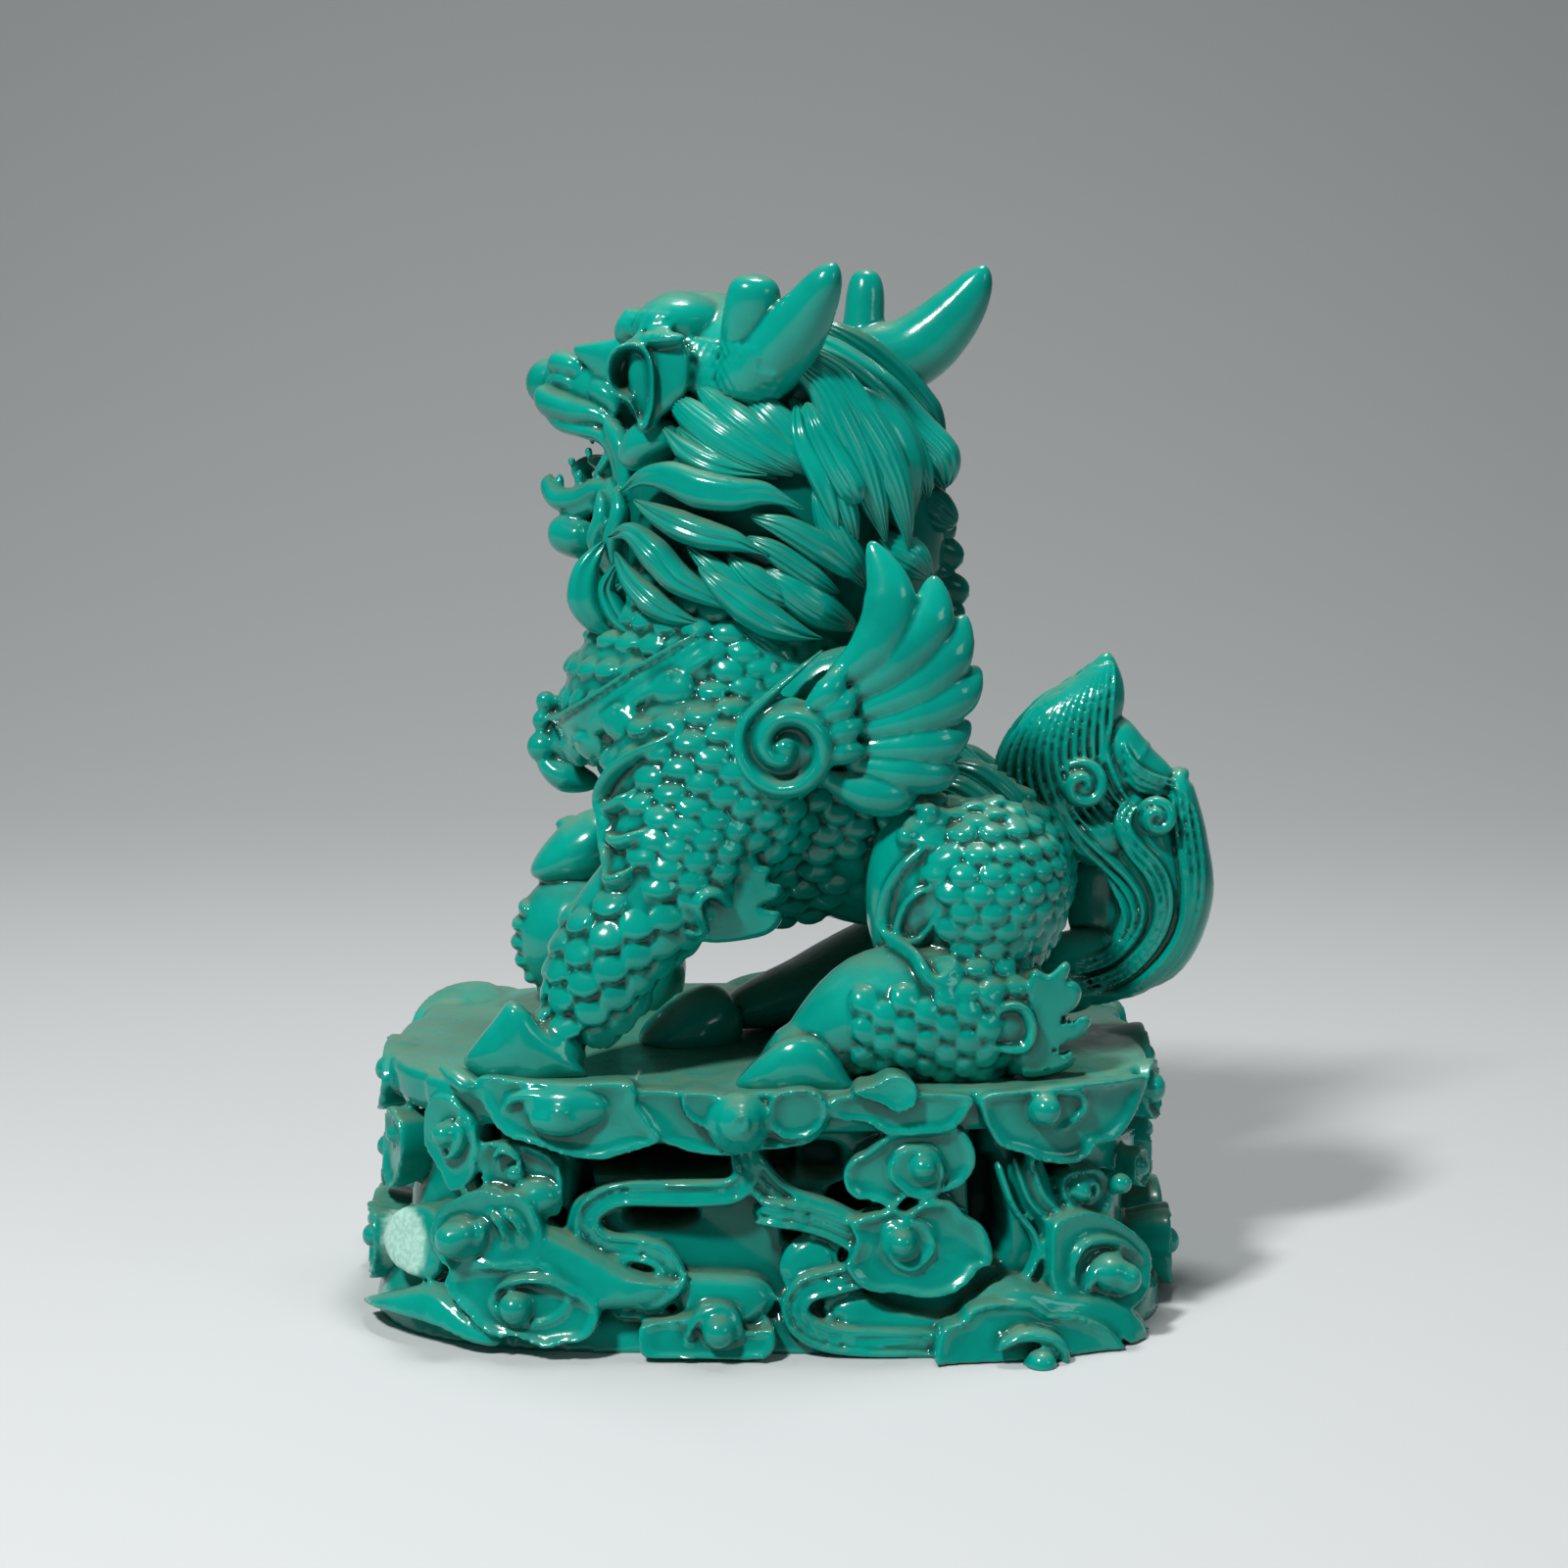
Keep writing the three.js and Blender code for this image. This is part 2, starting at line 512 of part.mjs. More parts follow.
/** The flame-shaped tail, flat from side to side, with two curls on each face. */
function tail() {
  const frond = (points, half, thick, rows) =>
    limb(points.map(([x, z]) => [x, 1, z]), thick, half, { around: 6, rows, blunt: 2.4 });
  const curl = (x, z, radius, near) => {
    const steps = 5;
    const points = Array.from({ length: steps + 1 }, (_, i) => {
      const angle = Math.PI * (1.1 - (i / steps) * 1.9);
      const reach = radius * (1 - 0.62 * (i / steps));
      return [x + Math.cos(angle) * reach, 1 - near * (3 + 0.8 * (i / steps)), z + Math.sin(angle) * reach];
    });
    return limb(points, [1, 1.3, 1.3, 1], [0.7, 1, 1.1, 1], { around: 5, rows: 5, blunt: 4, even: true });
  };
  return [
    frond([[25, 5], [31, 7], [34.4, 13], [33, 20], [30.4, 27], [30.6, 35.8]], [3, 3.4, 4.4, 4.6, 4.6, 0.6], [3, 3.6, 4, 3.8, 3, 0.8], 9),
    frond([[32.6, 7], [30.6, 14], [26, 19], [25.4, 25.6], [28.6, 31]], [2.6, 3.8, 4.6, 4.4, 1.6], [3, 3.6, 3.8, 3.4, 1.6], 7),
    frond([[35, 6], [37.2, 12], [36.6, 19], [37.4, 25.4]], [2.6, 3.4, 3.2, 0.9], [2.4, 3.2, 3, 1], 6),
    curl(26.6, 24, 2.5, 1),
    curl(34.6, 20.6, 2.3, 1),
    curl(26.6, 24, 2.5, -1),
  ];
}

/** A tuft of flame curls, such as those at an elbow or hock; lean is its middle's angle above level. */
function tuft([x, y, z], { lean, count, length, spread = 46 }) {
  const near = y < 0 ? 1 : -1;
  return Array.from({ length: count }, (_, i) => {
    const off = i - (count - 1) / 2;
    const angle = THREE.MathUtils.degToRad(lean + off * spread);
    const reach = length * (1 - 0.12 * Math.abs(off));
    const place = (turn, share, lift) => [
      x + Math.cos(angle + turn) * reach * share,
      y - near * lift,
      z + Math.sin(angle + turn) * reach * share,
    ];
    return limb([[x, y, z], place(-0.45, 0.55, 0.6), place(0, 1, 0)], [1.6, 1.7, 0.6], [1.4, 1.5, 0.5], {
      around: 4,
      rows: 4,
    });
  });
}

/** The collar across the chest, with its bell. */
function collar() {
  const ring = new THREE.TorusGeometry(1, 0.09, 3, 16);
  ring.scale(18.6 * SHARE, 14.4 * SHARE, 19 * SHARE).rotateY(THREE.MathUtils.degToRad(-33));
  const middle = at(-3.6, 1, 37.6);
  ring.translate(middle.x, middle.y, middle.z);
  return [solidOf(ring), egg(at(-19.4, 1, 25), 2.6 * SHARE, 2.6 * SHARE, 3 * SHARE, 7, 5)];
}

/** Everything of the one casting, joined and cut off level below. */
function casting() {
  const forms = [
    plinthCore(),
    platform(),
    ...FRONT_CLOUDS.map(cloud),
    ...backClouds().map(cloud),
    ...STREAMS.map((points) => stream(points, -1)),
    stream(STREAMS[0], 1),
    ...trunk(),
    ...legs(),
    ...hoovesAndBall(),
    ...face(),
    ...headSide(1),
    ...headSide(-1),
    ...mane(),
    ...crest(),
    ...wing(1),
    ...wing(-1),
    ...tail(),
    ...collar(),
    ...tuft([-5.6, -13.6, 15.6], { lean: -6, count: 3, length: 5.6, spread: 40 }),
    ...tuft([22.5, -16.4, 6.4], { lean: 0, count: 4, length: 5.4, spread: 42 }),
    ...tuft([22.5, 16.8, 6.4], { lean: 0, count: 3, length: 5.4, spread: 50 }),
  ];
  const whole = forms.reduce((sum, form) => sum.add(form));
  const below = new THREE.BoxGeometry(PLINTH_LENGTH * 2, PLINTH_DEPTH * 2, PLINTH_HEIGHT);
  below.translate(0, 0, -PLINTH_HEIGHT / 2);
  return whole.subtract(solidOf(below));
}

const turquoise = new THREE.MeshStandardMaterial({ color: 0x0b8f78, roughness: 0.22, metalness: 0 });

const figure = new THREE.Mesh(geometryOf(casting()), turquoise);
figure.name = "qilin_figure";

const part = new THREE.Group();
part.add(figure);

export default part;
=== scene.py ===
"""A seated qilin on a cloud plinth, moulded in turquoise resin: skin, scales, hair, wings and clouds.

Forms are drawn in millimetres and become metres when a piece is finished. The beast faces -X and
shows its -Y side. Heights of the beast are counted from the platform's top.
"""

import logging
import math
from collections.abc import Callable, Iterator, Sequence
from dataclasses import dataclass, field, replace
from enum import Enum

import bmesh
import bpy
import numpy as np
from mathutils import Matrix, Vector
from mathutils.bvhtree import BVHTree


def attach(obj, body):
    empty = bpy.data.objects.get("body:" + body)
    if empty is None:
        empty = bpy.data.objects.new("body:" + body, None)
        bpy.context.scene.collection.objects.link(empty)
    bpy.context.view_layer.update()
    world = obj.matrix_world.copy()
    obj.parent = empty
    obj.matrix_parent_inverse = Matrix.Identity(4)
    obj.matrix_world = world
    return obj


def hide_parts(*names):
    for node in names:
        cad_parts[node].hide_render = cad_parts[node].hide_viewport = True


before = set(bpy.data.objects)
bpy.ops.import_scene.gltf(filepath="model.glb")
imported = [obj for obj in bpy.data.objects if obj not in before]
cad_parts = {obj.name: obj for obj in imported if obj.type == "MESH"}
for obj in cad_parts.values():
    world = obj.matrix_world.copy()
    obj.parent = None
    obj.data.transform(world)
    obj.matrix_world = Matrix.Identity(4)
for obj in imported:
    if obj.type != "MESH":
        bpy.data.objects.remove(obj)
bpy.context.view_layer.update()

LOG = logging.getLogger("qilin")

# One millimetre in metres; the platform's height and the beast's middle plane in millimetres.
MM = 0.001
PLATFORM_TOP = 22.5
MID = 1.0
DOWN = np.array([0.0, 0.0, -1.0])
ACROSS = (0.0, 1.0, 0.0)
# How far a ray looks for a skin, in millimetres.
RAY = 400.0

Figures = Sequence[Sequence[float]]
Points = tuple[tuple[float, ...], ...]
Tree = bpy.types.NodeTree
Socket = bpy.types.NodeSocket
Map = Callable[[np.ndarray, np.ndarray, np.ndarray], np.ndarray]
Hit = tuple[np.ndarray, np.ndarray]
Outline = Callable[[np.ndarray], tuple[np.ndarray, np.ndarray]]


class Face(Enum):
    """Which side of the beast a form is on."""

    NEAR = 1
    FAR = -1


def curve_at(points: Figures, share: np.ndarray) -> tuple[np.ndarray, np.ndarray]:
    """Places on a smooth curve through points.

    Args:
        points: the curve's points.
        share: how far along each place is, from 0 to 1.

    Returns:
        The places and the unit directions of travel there.
    """
    p = np.asarray(points, float)
    q = np.vstack([2 * p[0] - p[1], p, 2 * p[-1] - p[-2]])
    place = np.clip(share, 0, 1) * (len(p) - 1)
    i = np.minimum(place.astype(int), len(p) - 2)
    t = (place - i)[:, None]
    a, b, c, d = q[i], q[i + 1], q[i + 2], q[i + 3]
    first, second, third = c - a, 2 * a - 5 * b + 4 * c - d, 3 * b - a - 3 * c + d
    where = 0.5 * (2 * b + first * t + second * t**2 + third * t**3)
    way = first + 2 * second * t + 3 * third * t**2
    return where, way / np.maximum(np.linalg.norm(way, axis=1), 1e-9)[:, None]


def spread(values: Sequence[float], share: np.ndarray) -> np.ndarray:
    """Values between the entries of a list spread evenly from 0 to 1."""
    return np.interp(share, np.linspace(0, 1, len(values)), values)


def smoothstep(low: float, high: float, value: np.ndarray) -> np.ndarray:
    """0 below low, 1 above high, and a soft step between."""
    t = np.clip((value - low) / (high - low), 0, 1)
    return t * t * (3 - 2 * t)


def unit(way: np.ndarray) -> np.ndarray:
    """A direction at a length of one."""
    return way / np.linalg.norm(way)


def outline_of(rim: Points, centre: Sequence[float]) -> Outline:
    """The smooth closed outline through places in the frame, which are listed clockwise.

    Args:
        rim: the places.
        centre: the place that the outline is given from.

    Returns:
        A function from angles to figures to the right and downward.
    """
    closed = [rim[-1], *rim, *rim[:2]]

    def at(angle: np.ndarray) -> tuple[np.ndarray, np.ndarray]:
        """The rim at angles."""
        share = (1 + (-angle / (2 * np.pi) % 1.0) * len(rim)) / (len(rim) + 2)
        where = curve_at(closed, share)[0]
        return where[:, 0] - centre[0], where[:, 1] - centre[1]

    return at


@dataclass
class Clay:
    """Closed forms gathered in millimetres before they become one piece."""

    bm: bmesh.types.BMesh = field(default_factory=bmesh.new)
    batches: list[bpy.types.Mesh] = field(default_factory=list)
    most_loose: int = 3000
    coarser: float = 1.5

    def sphere(self, around: int, rows: int) -> tuple[list[bmesh.types.BMVert], np.ndarray]:
        """A new unit sphere's vertices, and their places as an array."""
        if len(self.bm.verts) > self.most_loose:
            self.batches.append(bpy.data.meshes.new("batch"))
            self.bm.to_mesh(self.batches[-1])
            self.bm.clear()
        made = bmesh.ops.create_uvsphere(self.bm, u_segments=around, v_segments=rows, radius=1.0)["verts"]
        return made, np.array([v.co for v in made])

    @staticmethod
    def put(made: list[bmesh.types.BMVert], places: np.ndarray) -> None:
        """Moves vertices to their places."""
        for vert, place in zip(made, places):
            vert.co = place

    def drawn(
        self,
        points: Figures,
        wide: Sequence[float],
        thick: Sequence[float],
        *,
        side: Sequence[float] | np.ndarray = ACROSS,
        blunt: float = 2.0,
        around: int = 20,
        rows: int = 24,
        even: bool = True,
        strands: float = 0,
        groove: float = 0.0,
    ) -> None:
        """A sphere drawn out along a curve: a limb, lock, horn, feather or ridge.

        Args:
            points: the middle line.
            wide: half-sizes along side.
            thick: half-sizes square to side.
            side: one direction for all, or one for each point.
            blunt: over 2 fills out the ends.
            around: faces round the form.
            rows: faces along the form.
            even: rows are evenly spaced, or else closer towards the ends.
            strands: grooves across the form's thickness, as combed hair has.
            groove: depth of those grooves.
        """
        made, ball = self.sphere(around, rows)
        polar = np.arccos(np.clip(ball[:, 2], -1, 1))
        share = polar / np.pi if even else (1 - np.cos(polar)) / 2
        pole = 1 - 2 * share
        ring = np.maximum(np.hypot(ball[:, 0], ball[:, 1]), 1e-9)
        c, s = ball[:, 0] / ring, ball[:, 1] / ring
        fill = np.sqrt(np.maximum(0, 1 - np.abs(pole) ** blunt))
        middle, forward = curve_at(points, share)
        sides = np.asarray(side, float)
        if sides.ndim == 2:
            sides = np.stack([spread(sides[:, i], share) for i in range(3)], axis=1)
        across = sides - (sides * forward).sum(axis=1)[:, None] * forward
        across /= np.maximum(np.linalg.norm(across, axis=1), 1e-9)[:, None]
        over = np.cross(across, forward)
        reach = spread(wide, share) * fill
        if strands:
            comb = (0.5 + 0.5 * np.cos(np.pi * strands * s)) ** 1.5
            reach = reach - groove * comb * smoothstep(0, 0.25, fill) * np.abs(c) ** 0.5
        where = middle + across * (c * reach)[:, None] + over * (s * spread(thick, share) * fill)[:, None]
        self.put(made, where)

    def egg(
        self,
        centre: Sequence[float],
        radii: Sequence[float],
        axes: np.ndarray | None = None,
        around: int = 24,
        rows: int = 16,
        pinch: float = 0.0,
    ) -> None:
        """A ball or egg.

        Args:
            centre: its middle.
            radii: its half-sizes along its own three axes.
            axes: those axes as rows, or the frame's own.
            around: faces round it.
            rows: faces from pole to pole.
            pinch: how much narrower it gets along its second axis.
        """
        made, ball = self.sphere(around, rows)
        ball[:, 0] *= 1 - pinch * (0.5 + 0.5 * ball[:, 1])
        turned = (ball * np.asarray(radii, float)) @ (np.eye(3) if axes is None else axes)
        self.put(made, turned + np.asarray(centre, float))

    def dish(
        self,
        onto: Map,
        outline: Outline,
        profile: Figures,
        around: int = 64,
    ) -> None:
        """A plate, cup or slab: an outline swept through a profile from its back to its front.

        Args:
            onto: turns sideways, upward and outward figures into places.
            outline: sideways and upward figures of the rim at angles.
            profile: rows of the share of the outline and the outward figure.
            around: faces round it.
        """
        rows = np.asarray(profile, float)
        made, ball = self.sphere(around, len(rows) - 1)
        row = np.rint(np.arccos(np.clip(-ball[:, 2], -1, 1)) / np.pi * (len(rows) - 1)).astype(int)
        x, y = outline(np.arctan2(ball[:, 1], ball[:, 0]))
        self.put(made, onto(x * rows[row, 0], y * rows[row, 0], rows[row, 1]))

    def skin(self, voxel: float, name: str = "skin") -> bpy.types.Object:
        """All forms so far as one closed skin, still in millimetres.

        Args:
            voxel: size of the skin's faces, or 0 to keep the forms as they are.
            name: the object's name.

        Returns:
            The new object.
        """
        mesh = bpy.data.meshes.new(name)
        whole = self.bm.copy()
        for batch in self.batches:
            whole.from_mesh(batch)
        whole.to_mesh(mesh)
        whole.free()
        obj = bpy.data.objects.new(name, mesh)
        bpy.context.scene.collection.objects.link(obj)
        if voxel:
            modifier = obj.modifiers.new("one skin", "REMESH")
            modifier.mode = "VOXEL"
            modifier.voxel_size = voxel * 1.0
            applied(obj)
        return obj

    def felt(self, voxel: float, rounds: int) -> BVHTree:
        """The forms so far as one smooth skin, for others that lie on it.

        Args:
            voxel: size of the skin's faces.
            rounds: how often it is softened.

        Returns:
            The skin, ready for rays.
        """
        rough = self.skin(voxel)
        softened(rough.data, rounds)
        under = BVHTree.FromObject(rough, bpy.context.evaluated_depsgraph_get())
        bpy.data.objects.remove(rough)
        return under


def applied(obj: bpy.types.Object) -> bpy.types.Mesh:
    """Makes an object's modifiers part of its mesh, which it gives back."""
    depsgraph = bpy.context.evaluated_depsgraph_get()
    solid = bpy.data.meshes.new_from_object(obj.evaluated_get(depsgraph))
    obj.modifiers.clear()
    old, obj.data = obj.data, solid
    bpy.data.meshes.remove(old)
    solid.name = obj.name
    return solid


def vectors(rows: Sequence, name: str) -> np.ndarray:
    """The vectors that a mesh keeps under a name, as an array."""
    flat = np.empty(len(rows) * 3, np.float32)
    rows.foreach_get(name, flat)
    return flat.reshape(-1, 3).astype(float)


def put_places(mesh: bpy.types.Mesh, co: np.ndarray) -> None:
    """Moves a mesh's vertices to their places."""
    mesh.vertices.foreach_set("co", co.astype(np.float32).ravel())
    mesh.update()


def neighbours_mean(mesh: bpy.types.Mesh) -> Callable[[np.ndarray], np.ndarray]:
    """A function that gives each vertex the mean of its neighbours' values."""
    ends = np.empty(len(mesh.edges) * 2, np.int32)
    mesh.edges.foreach_get("vertices", ends)
    a, b = ends.reshape(-1, 2).T
    count = len(mesh.vertices)
    both, other = np.concatenate([a, b]), np.concatenate([b, a])
    degree = np.maximum(np.bincount(both, minlength=count), 1)

    def mean(values: np.ndarray) -> np.ndarray:
        """Each vertex's neighbours' mean."""
        sums = [np.bincount(both, weights=column[other], minlength=count) for column in values.T]
        return np.stack([column / degree for column in sums], axis=1)

    return mean


def softened(mesh: bpy.types.Mesh, rounds: int) -> None:
    """Rounds a skin's edges a little, as casting does."""
    co, mean = vectors(mesh.vertices, "co"), neighbours_mean(mesh)
    for _ in range(rounds):
        co += 0.5 * (mean(co) - co)
    put_places(mesh, co)


def lying(mesh: bpy.types.Mesh, name: str, values: np.ndarray) -> None:
    """Keeps one value for each vertex under a name that the resin reads."""
    kept = mesh.attributes.get(name) or mesh.attributes.new(name, "FLOAT", "POINT")
    kept.data.foreach_set("value", values.astype(np.float32))


def settled(mesh: bpy.types.Mesh) -> None:
    """Marks the faces that look up, where dust settles."""
    lying(mesh, "settled", smoothstep(0.55, 0.98, vectors(mesh.vertex_normals, "vector")[:, 2]))


def hollowed(mesh: bpy.types.Mesh, reach: float, rounds: int = 10) -> None:
    """Marks the hollows, which gather dust and get painted shade.

    Args:
        mesh: a skin in millimetres with even faces.
        reach: depth of a hollow that is fully in shade.
        rounds: how many faces away its surroundings reach.
    """
    mean = neighbours_mean(mesh)
    co, normal = vectors(mesh.vertices, "co"), vectors(mesh.vertex_normals, "vector")
    near = co.copy()
    for _ in range(rounds):
        near = mean(near)
    hollow = ((near - co) * normal).sum(axis=1) / reach
    lying(mesh, "hollow", np.clip(mean(hollow[:, None])[:, 0], -1, 1))


@dataclass(frozen=True)
class Resin:
    """Cast polyester resin, tinted like turquoise and polished by its mould.

    It is glossy, with darker swirls in its tint, painted shade in its hollows and near black green painted
    shade in its pits, dusty where it looks up and paler and rough where it is chipped.
    """

    # shade is painted shade for the hollows; deep gives the darker swirls in the tint and near black painted
    # shade in the pits.
    body: str = "#009383"
    shade: str = "#003730"
    deep: str = "#001d18"
    dust: str = "#747a5c"
    chip: str = "#a9d3c4"
    roughness: float = 0.17
    ior: float = 1.52
    swirl_mm: float = 7.0
    patch_mm: float = 2.2
    grain_mm: float = 0.5
    grain_depth_mm: float = 0.06
    dust_share: float = 0.7
    dust_roughness: float = 0.5
    chip_roughness: float = 0.7

    def material(self) -> bpy.types.Material:
        """The resin's nodes."""
        # Cast polyester resin, opaque, tinted like turquoise: glossy from a polished mould.
        material = bpy.data.materials.new("cast_turquoise_resin")
        material.use_nodes = True
        tree = material.node_tree
        tree.nodes.clear()
        out = add_node(tree, "ShaderNodeOutputMaterial")
        gloss = {"IOR": self.ior, "Coat Roughness": 0.06, "Coat IOR": 1.5}
        shader = add_node(tree, "ShaderNodeBsdfPrincipled", gloss)
        tree.links.new(shader.outputs["BSDF"], out.inputs["Surface"])
        place = add_node(tree, "ShaderNodeTexCoord").outputs["Object"]
        hollow, settled, chipped, deep = (
            add_node(tree, "ShaderNodeAttribute", attribute_name=name).outputs["Fac"]
            for name in ("hollow", "settled", "chipped", "deep")
        )
        swirl = self.noise(tree, place, self.swirl_mm, 3)
        patch = self.noise(tree, place, self.patch_mm, 4)
        grain = self.noise(tree, place, self.grain_mm, 3)

        tint = self.mix(tree, self.body, self.deep, self.ramp(tree, swirl, 0.35, 0.75, 0.0, 0.32))
        # Painted shade: the hollows are darkened towards the shade colour.
        tint = self.mix(tree, tint, self.shade, self.ramp(tree, hollow, 0.05, 0.7, 0.0, 0.9))
        # Painted shade: the pits are darkened to near black green by the deep mark.
        tint = self.mix(tree, tint, self.deep, self.ramp(tree, deep, 0.0, 1.0, 0.0, 0.94))
        soiled = self.maths(tree, "MULTIPLY", settled, self.ramp(tree, patch, 0.32, 0.72, 0.3, 0.85))
        caught = self.maths(tree, "MULTIPLY", self.ramp(tree, hollow, 0.4, 1.0, 0.0, 0.12), patch)
        dusty = self.maths(tree, "MAXIMUM", soiled, caught)
        tint = self.mix(tree, tint, self.dust, self.maths(tree, "MULTIPLY", dusty, self.dust_share))
        flaked = self.maths(tree, "MULTIPLY", chipped, self.ramp(tree, grain, 0.4, 0.6, 0.7, 1.0))
        tint = self.mix(tree, tint, self.chip, flaked)
        tree.links.new(tint, shader.inputs["Base Color"])

        rough = self.ramp(tree, dusty, 0.1, 0.8, self.roughness, self.dust_roughness)
        broken = self.maths(tree, "MULTIPLY", chipped, self.chip_roughness)
        rough = self.maths(tree, "MAXIMUM", rough, broken)
        tree.links.new(rough, shader.inputs["Roughness"])
        # In the pits the painted shade also takes away coat and specular.
        tree.links.new(self.ramp(tree, deep, 0.1, 0.9, 0.22, 0.0), shader.inputs["Coat Weight"])
        tree.links.new(self.ramp(tree, deep, 0.1, 0.9, 0.28, 0.03), shader.inputs["Specular IOR Level"])

        orange_peel = {"Strength": 0.18, "Distance": self.grain_depth_mm * MM}
        bump = add_node(tree, "ShaderNodeBump", orange_peel)
        tree.links.new(grain, bump.inputs["Height"])
        tree.links.new(bump.outputs["Normal"], shader.inputs["Normal"])
        return material

    @staticmethod
    def noise(tree: Tree, place: Socket, size_mm: float, detail: float) -> Socket:
        """A cloudy pattern whose patches are size_mm across."""
        sizes = {"Scale": 1 / (size_mm * MM), "Detail": detail, "Roughness": 0.55}
        node = add_node(tree, "ShaderNodeTexNoise", sizes)
        tree.links.new(place, node.inputs["Vector"])
        return node.outputs["Fac"]

    @staticmethod
    def ramp(tree: Tree, value: Socket, low: float, high: float, least: float, most: float) -> Socket:
        """Value's range from low to high spread over least to most."""
        limits = {"From Min": low, "From Max": high, "To Min": least, "To Max": most}
        node = add_node(tree, "ShaderNodeMapRange", limits)
        tree.links.new(value, node.inputs["Value"])
        return node.outputs["Result"]

    @staticmethod
    def maths(tree: Tree, kind: str, first: Socket, second: Socket | float) -> Socket:
        """Two values put together."""
        node = add_node(tree, "ShaderNodeMath", operation=kind)
        for value, socket in zip((first, second), node.inputs):
            if isinstance(value, float):
                socket.default_value = value
            else:
                tree.links.new(value, socket)
        return node.outputs["Value"]

    @staticmethod
    def mix(tree: Tree, under: Socket | str, over: str, share: Socket) -> Socket:
        """One colour laid over another by a share."""
        node = add_node(tree, "ShaderNodeMix", data_type="RGBA")
        for value, socket in ((under, node.inputs[6]), (over, node.inputs[7])):
            if isinstance(value, str):
                socket.default_value = linear(value)
            else:
                tree.links.new(value, socket)
        tree.links.new(share, node.inputs[0])
        return node.outputs[2]


def linear(hex_colour: str) -> tuple[float, float, float, float]:
    """An sRGB hex colour as linear red, green, blue and alpha."""
    parts = [int(hex_colour[i : i + 2], 16) / 255 for i in (1, 3, 5)]
    red, green, blue = (c / 12.92 if c <= 0.04045 else ((c + 0.055) / 1.055) ** 2.4 for c in parts)
    return red, green, blue, 1.0


def add_node(
    tree: Tree, kind: str, inputs: dict[str, float] | None = None, **settings: str
) -> bpy.types.Node:
    """Adds a node with its settings and its sockets' own values.

    Args:
        tree: the material's nodes.
        kind: the node's type.
        inputs: values for sockets, by name.
        settings: the node's properties.

    Returns:
        The new node.
    """
    node = tree.nodes.new(kind)
    for name, value in settings.items():
        setattr(node, name, value)
    for name, value in (inputs or {}).items():
        node.inputs[name].default_value = value
    return node


@dataclass
class Piece:
    """A part of the one casting that is made as its own mesh.

    Its fields are the resin, the size of its skin's faces (0 keeps the forms as they are), how often the
    skin is softened, the depth of a hollow in full painted shade, and the most triangles that it may have.
    """

    resin: bpy.types.Material
    voxel: float = 0.3
    soften: int = 2
    hollow: float = 0.22
    most: int = 190000

    name = "piece"

    def finish(self, clay: Clay, lift: float = PLATFORM_TOP) -> bpy.types.Object:
        """Turns the forms into one finished piece in metres.

        Args:
            clay: the forms.
            lift: height added to all figures, for those counted from the platform.

        Returns:
            The piece, dressed and riding on the body.
        """
        obj = clay.skin(self.voxel, self.name)
        clay.bm.free()
        if self.voxel:
            softened(obj.data, self.soften)
        # Hollows, which the resin dusts and darkens with painted shade.
        hollowed(obj.data, self.hollow)
        mesh = self.thinned(obj)
        co = vectors(mesh.vertices, "co")
        co[:, 2] = np.maximum(co[:, 2] + lift, 0)
        put_places(mesh, co)
        settled(mesh)
        lying(mesh, "chipped", self.chipped(co))
        # Pits, which the resin darkens with painted shade.
        lying(mesh, "deep", self.deep(co))
        put_places(mesh, co * MM)
        mesh.shade_smooth()
        mesh.materials.append(self.resin)
        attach(obj, "root")
        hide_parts("qilin_figure")
        LOG.info("%s: %d faces", obj.name, len(mesh.polygons))
        return obj

    def thinned(self, obj: bpy.types.Object) -> bpy.types.Mesh:
        """The piece's mesh with no more triangles than it may have."""
        count = sum(len(face.vertices) - 2 for face in obj.data.polygons)
        if count <= self.most:
            return obj.data
        modifier = obj.modifiers.new("fewer faces", "DECIMATE")
        modifier.ratio = self.most / count
        return applied(obj)

    def chipped(self, co: np.ndarray) -> np.ndarray:
        """How far each vertex is chipped to the paler inside; most pieces are whole."""
        return np.zeros(len(co))

    def deep(self, co: np.ndarray) -> np.ndarray:
        """How deep each vertex lies in a pit, where the resin paints shade."""
        return np.zeros(len(co))


